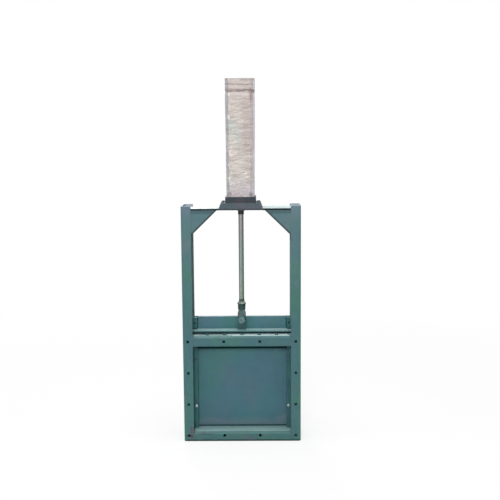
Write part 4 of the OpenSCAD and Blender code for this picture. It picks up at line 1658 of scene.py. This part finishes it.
@dataclass(frozen=True)
class Cylinder:
    """The air cylinder: foot, caps, tube and rods, its screws, and the film still round it.

    Each waist of the film is its height over the rear cap's foot and the share of width left.
    """

    palette: Palette
    foot_screw: float = 4.5 * MM
    foot_screw_turn: float = 50
    foot_slope: float = 5 * MM
    foot_screw_shift: float = 1 * MM
    film_rows: int = 150
    film_columns: int = 24
    film_top_rings: int = 7
    film_corner: float = 8 * MM
    film_corner_cuts: int = 5
    film_slack: float = 0.3 * MM
    film_headroom: float = 0.4 * MM
    film_skin: float = 0.2 * MM
    film_waists: tuple[tuple[float, float], ...] = ((-2.5 * MM, 0.965), (11 * MM, 0.985))
    film_waist_reach: float = 1.3 * MM
    creases: tuple[Crease, ...] = (
        Crease("CLOUDS", 0.045, (1, 1, 0.7), 0, 0.9 * MM, 0.3),
        Crease("MUSGRAVE", 0.030, (1.3, 1.3, 0.22), 6, 0.35 * MM, 0.1),
        Crease("CLOUDS", 0.012, (1.5, 1.5, 0.25), -9, 0.7 * MM, 0.4),
    )

    def build(self) -> None:
        """Dresses the cylinder, adds its foot's screws and wraps it."""
        self._paint()
        self._foot_screws()
        self._wrap()

    def _paint(self) -> None:
        """Gives each CAD node of the cylinder its finish."""
        dress(("front_cap", "rear_cap"), self.palette.cap_alloy)
        dress(("cylinder_foot",), self.palette.foot_alloy)
        dress(("rod_bush",), self.palette.black_plastic)
        dress(("barrel",), self.palette.bare_alloy)
        dress(("tie_rods",), self.palette.zinc)

    def _foot_screws(self) -> None:
        """The four screws through the foot's ears."""
        foot_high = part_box("cylinder_foot")[1]
        cap_low, cap_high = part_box("front_cap")
        ear_x = (cap_high.x + foot_high.x - self.foot_slope) / 2 + self.foot_screw_shift
        ear_y = (cap_high.y - cap_low.y) / 4
        middle = (cap_low.y + cap_high.y) / 2
        stem = foot_high.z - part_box("top_plate")[0].z
        corners = [(x, middle + y) for x in (-ear_x, ear_x) for y in (-ear_y, ear_y)]
        places = [Facing.UP.at((x, y, foot_high.z), self.foot_screw_turn * n)
                  for n, (x, y) in enumerate(corners)]
        screws = set_out(Fastener(self.foot_screw, Head.BUTTON, washer=False, stem=stem).build(), places)
        finish(screws, "foot_screws", "frame", self.palette.screw_steel)

    def _sleeve(self) -> bpy.types.Object:
        """A fine-meshed square sleeve with a closed top, tapered as the cylinder is."""
        low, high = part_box("film_wrap")
        rods_low, rods_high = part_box("tie_rods")
        barrel_low, barrel_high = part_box("barrel")
        cap_low, cap_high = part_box("rear_cap")
        centre = (low + high) / 2
        base = max(barrel_high.x - barrel_low.x, rods_high.x - rods_low.x) + 2 * self.film_slack
        top = cap_high.x - cap_low.x + 2 * self.film_slack
        height = high.z - low.z - self.film_headroom
        middle = low.z + height / 2
        crown = (centre.x, centre.y, high.z)
        bpy.ops.object.select_all(action="DESELECT")
        bpy.ops.mesh.primitive_cube_add(size=1, location=(centre.x, centre.y, middle),
                                        scale=(base, base, height))
        sleeve = bpy.context.object
        bpy.ops.object.transform_apply(location=True, rotation=True, scale=True)
        with editing(sleeve):
            select_points(sleeve, lambda point: point.co.z > middle)
            bpy.ops.transform.resize(value=(top / base, top / base, 1), center_override=crown)
            select_edges(sleeve, upright)
            bpy.ops.mesh.bevel(offset=self.film_corner, segments=self.film_corner_cuts, affect="EDGES")
            select_faces(sleeve, looks_down)
            bpy.ops.mesh.delete(type="FACE")
            select_edges(sleeve, lambda edge: edge.calc_length() > base / 2 and not upright(edge))
            bpy.ops.mesh.subdivide(number_cuts=self.film_columns)
            select_edges(sleeve, upright)
            bpy.ops.mesh.subdivide(number_cuts=self.film_rows)
            select_faces(sleeve, looks_up)
            for ring in range(self.film_top_rings, 1, -1):
                share = (ring - 1) / ring
                grow((0, 0, 0), (share, share, 1), crown)
            bpy.ops.mesh.poke()
            select_points(sleeve, lambda point: point.co.z > low.z + height - 10 * TINY)
            bpy.ops.mesh.remove_doubles(threshold=TINY)
        return sleeve

    def _wrap(self) -> None:
        """The film: a crumpled sleeve over the tube and rear cap."""
        sleeve = self._sleeve()
        low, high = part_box("film_wrap")
        cap_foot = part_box("rear_cap")[0].z
        centre = (low + high) / 2
        with editing(sleeve):
            for rise, shrink in self.film_waists:
                height = cap_foot + rise
                select_points(sleeve, lambda point: abs(point.co.z - height) < self.film_waist_reach)
                bpy.ops.transform.resize(value=(shrink, shrink, 1),
                                         center_override=(centre.x, centre.y, height))
        for crease in self.creases:
            crease.press(sleeve)
        modify(sleeve, "SOLIDIFY", thickness=self.film_skin, offset=-1)
        shading = FilmFinish(centre.x, low.y, low.z, high.z, (high.x - low.x) / 2).material()
        film = finish(sleeve, "stretch_film", "frame", shading)
        pick(film)
        bpy.ops.object.shade_smooth()
        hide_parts("film_wrap")


@dataclass(frozen=True)
class Lamp:
    """A soft square lamp aimed at a point."""

    name: str
    place: tuple[float, float, float]
    aim: tuple[float, float, float]
    size: float
    power: float

    def hang(self) -> None:
        """Adds the lamp to the scene."""
        light = bpy.data.lights.new(self.name, "AREA")
        light.size = self.size
        light.energy = self.power
        lamp = bpy.data.objects.new(self.name, light)
        bpy.context.scene.collection.objects.link(lamp)
        lamp.location = self.place
        lamp.rotation_euler = (Vector(self.place) - Vector(self.aim)).to_track_quat("Z", "Y").to_euler()


@dataclass(frozen=True)
class Studio:
    """A white room with soft light from all round, and the photograph's camera."""

    eye: tuple[float, float, float] = (0.040, -2.120, 0.6195)
    yaw: float = 0.515
    pitch: float = 7.646
    roll: float = -0.400
    focal_ratio: float = 1.7
    sensor: float = 36.0
    ambient: float = 0.28
    floor_size: float = 14.0
    floor_near: float = 0.5
    floor_glow: float = 0.76
    floor_far: float = 1.7
    floor_drop: float = 0.2 * MM
    floor_colour: Colour = srgb(238, 238, 238)
    lamps: tuple[Lamp, ...] = (
        Lamp("key", (-0.25, -2.6, 1.35), (0.0, -0.05, 0.2), 0.4, 26.0),
        Lamp("top", (0.0, -0.4, 2.6), (0.0, -0.05, 0.2), 1.4, 44.0),
        Lamp("back", (-0.6, 2.5, 1.4), (0.0, -0.05, 0.2), 0.8, 22.0),
        Lamp("left", (-2.4, -0.5, 1.2), (0.0, -0.05, 0.2), 1.2, 10.0),
        Lamp("right", (2.4, -0.5, 1.2), (0.0, -0.05, 0.2), 1.2, 10.0),
    )

    def build(self) -> None:
        """Sets up the camera, lamps, world and floor."""
        self._camera()
        for lamp in self.lamps:
            lamp.hang()
        self._world()
        self._floor()
        bpy.context.scene.view_settings.view_transform = "Standard"

    def _camera(self) -> None:
        """The camera, from the bolt holes and corners of the photograph."""
        yaw, pitch, roll = (math.radians(angle) for angle in (self.yaw, self.pitch, self.roll))
        ahead = Vector((-math.sin(yaw) * math.cos(pitch), math.cos(yaw) * math.cos(pitch), -math.sin(pitch)))
        side = Vector((math.cos(yaw), math.sin(yaw), 0))
        above = side.cross(ahead)
        right = math.cos(roll) * side + math.sin(roll) * above
        up = -math.sin(roll) * side + math.cos(roll) * above
        lens = bpy.data.cameras.new("camera")
        lens.sensor_width = self.sensor
        lens.lens = self.focal_ratio * self.sensor
        camera = bpy.data.objects.new("camera", lens)
        bpy.context.scene.collection.objects.link(camera)
        axes = Matrix((right, up, -ahead)).transposed().to_4x4()
        camera.matrix_world = Matrix.Translation(self.eye) @ axes
        bpy.context.scene.camera = camera

    def _white_for(self, tree: bpy.types.NodeTree, kinds: Sequence[str]) -> bpy.types.NodeSocket:
        """A socket that is 1 for rays of these kinds."""
        path = tree.nodes.new("ShaderNodeLightPath")
        total = path.outputs[kinds[0]]
        for kind in kinds[1:]:
            most = tree.nodes.new("ShaderNodeMath")
            most.operation = "MAXIMUM"
            tree.links.new(total, most.inputs[0])
            tree.links.new(path.outputs[kind], most.inputs[1])
            total = most.outputs[0]
        return total

    def _world(self) -> None:
        """Even light from all round, behind which the camera sees white."""
        world = bpy.data.worlds.new("room")
        bpy.context.scene.world = world
        world.use_nodes = True
        tree = world.node_tree
        tree.nodes.clear()
        dim, white = (tree.nodes.new("ShaderNodeBackground") for _ in range(2))
        dim.inputs["Strength"].default_value = self.ambient
        for background in (dim, white):
            background.inputs["Color"].default_value = WHITE
        seen = self._white_for(tree, ("Is Camera Ray", "Is Glossy Ray", "Is Transmission Ray"))
        mix = tree.nodes.new("ShaderNodeMixShader")
        out = tree.nodes.new("ShaderNodeOutputWorld")
        tree.links.new(seen, mix.inputs[0])
        tree.links.new(dim.outputs[0], mix.inputs[1])
        tree.links.new(white.outputs[0], mix.inputs[2])
        tree.links.new(mix.outputs[0], out.inputs["Surface"])

    def _floor(self) -> None:
        """A pale floor that is white where nothing shades it."""
        bpy.ops.object.select_all(action="DESELECT")
        height = CAD_BOX[0].z - self.floor_drop
        bpy.ops.mesh.primitive_plane_add(size=self.floor_size, location=(0, 0, height))
        floor = bpy.context.object
        floor.name = "floor"
        shader = Shader("floor")
        shader.wire({"Base Color": self.floor_colour, "Roughness": 0.9, "Specular IOR Level": 0.1})
        glow = shader.node("ShaderNodeEmission", inputs={"Color": WHITE, "Strength": 1.0})
        seen = Value(shader, self._white_for(shader.tree, ("Is Camera Ray",)))
        far = shader.math("SQRT", shader.x * shader.x + shader.y * shader.y)
        share = seen * (self.floor_glow + (1 - self.floor_glow) * far.ramp(self.floor_near, self.floor_far))
        mix = shader.node("ShaderNodeMixShader",
                          inputs={0: share, 1: shader.surface.outputs[0], 2: glow.outputs[0]})
        shader.node("ShaderNodeOutputMaterial", {"is_active_output": True}, {"Surface": mix.outputs[0]})
        floor.data.materials.append(shader.material)


def main() -> None:
    """Builds the studio and dresses the gate."""
    logging.basicConfig(level=logging.INFO, format="%(message)s")
    Studio().build()
    palette = Palette.mixed()
    for assembly in (GateFrame(palette), GateLeaf(palette), Cylinder(palette)):
        assembly.build()
        LOG.info("%s is dressed", type(assembly).__name__)


if __name__ == "__main__":
    main()
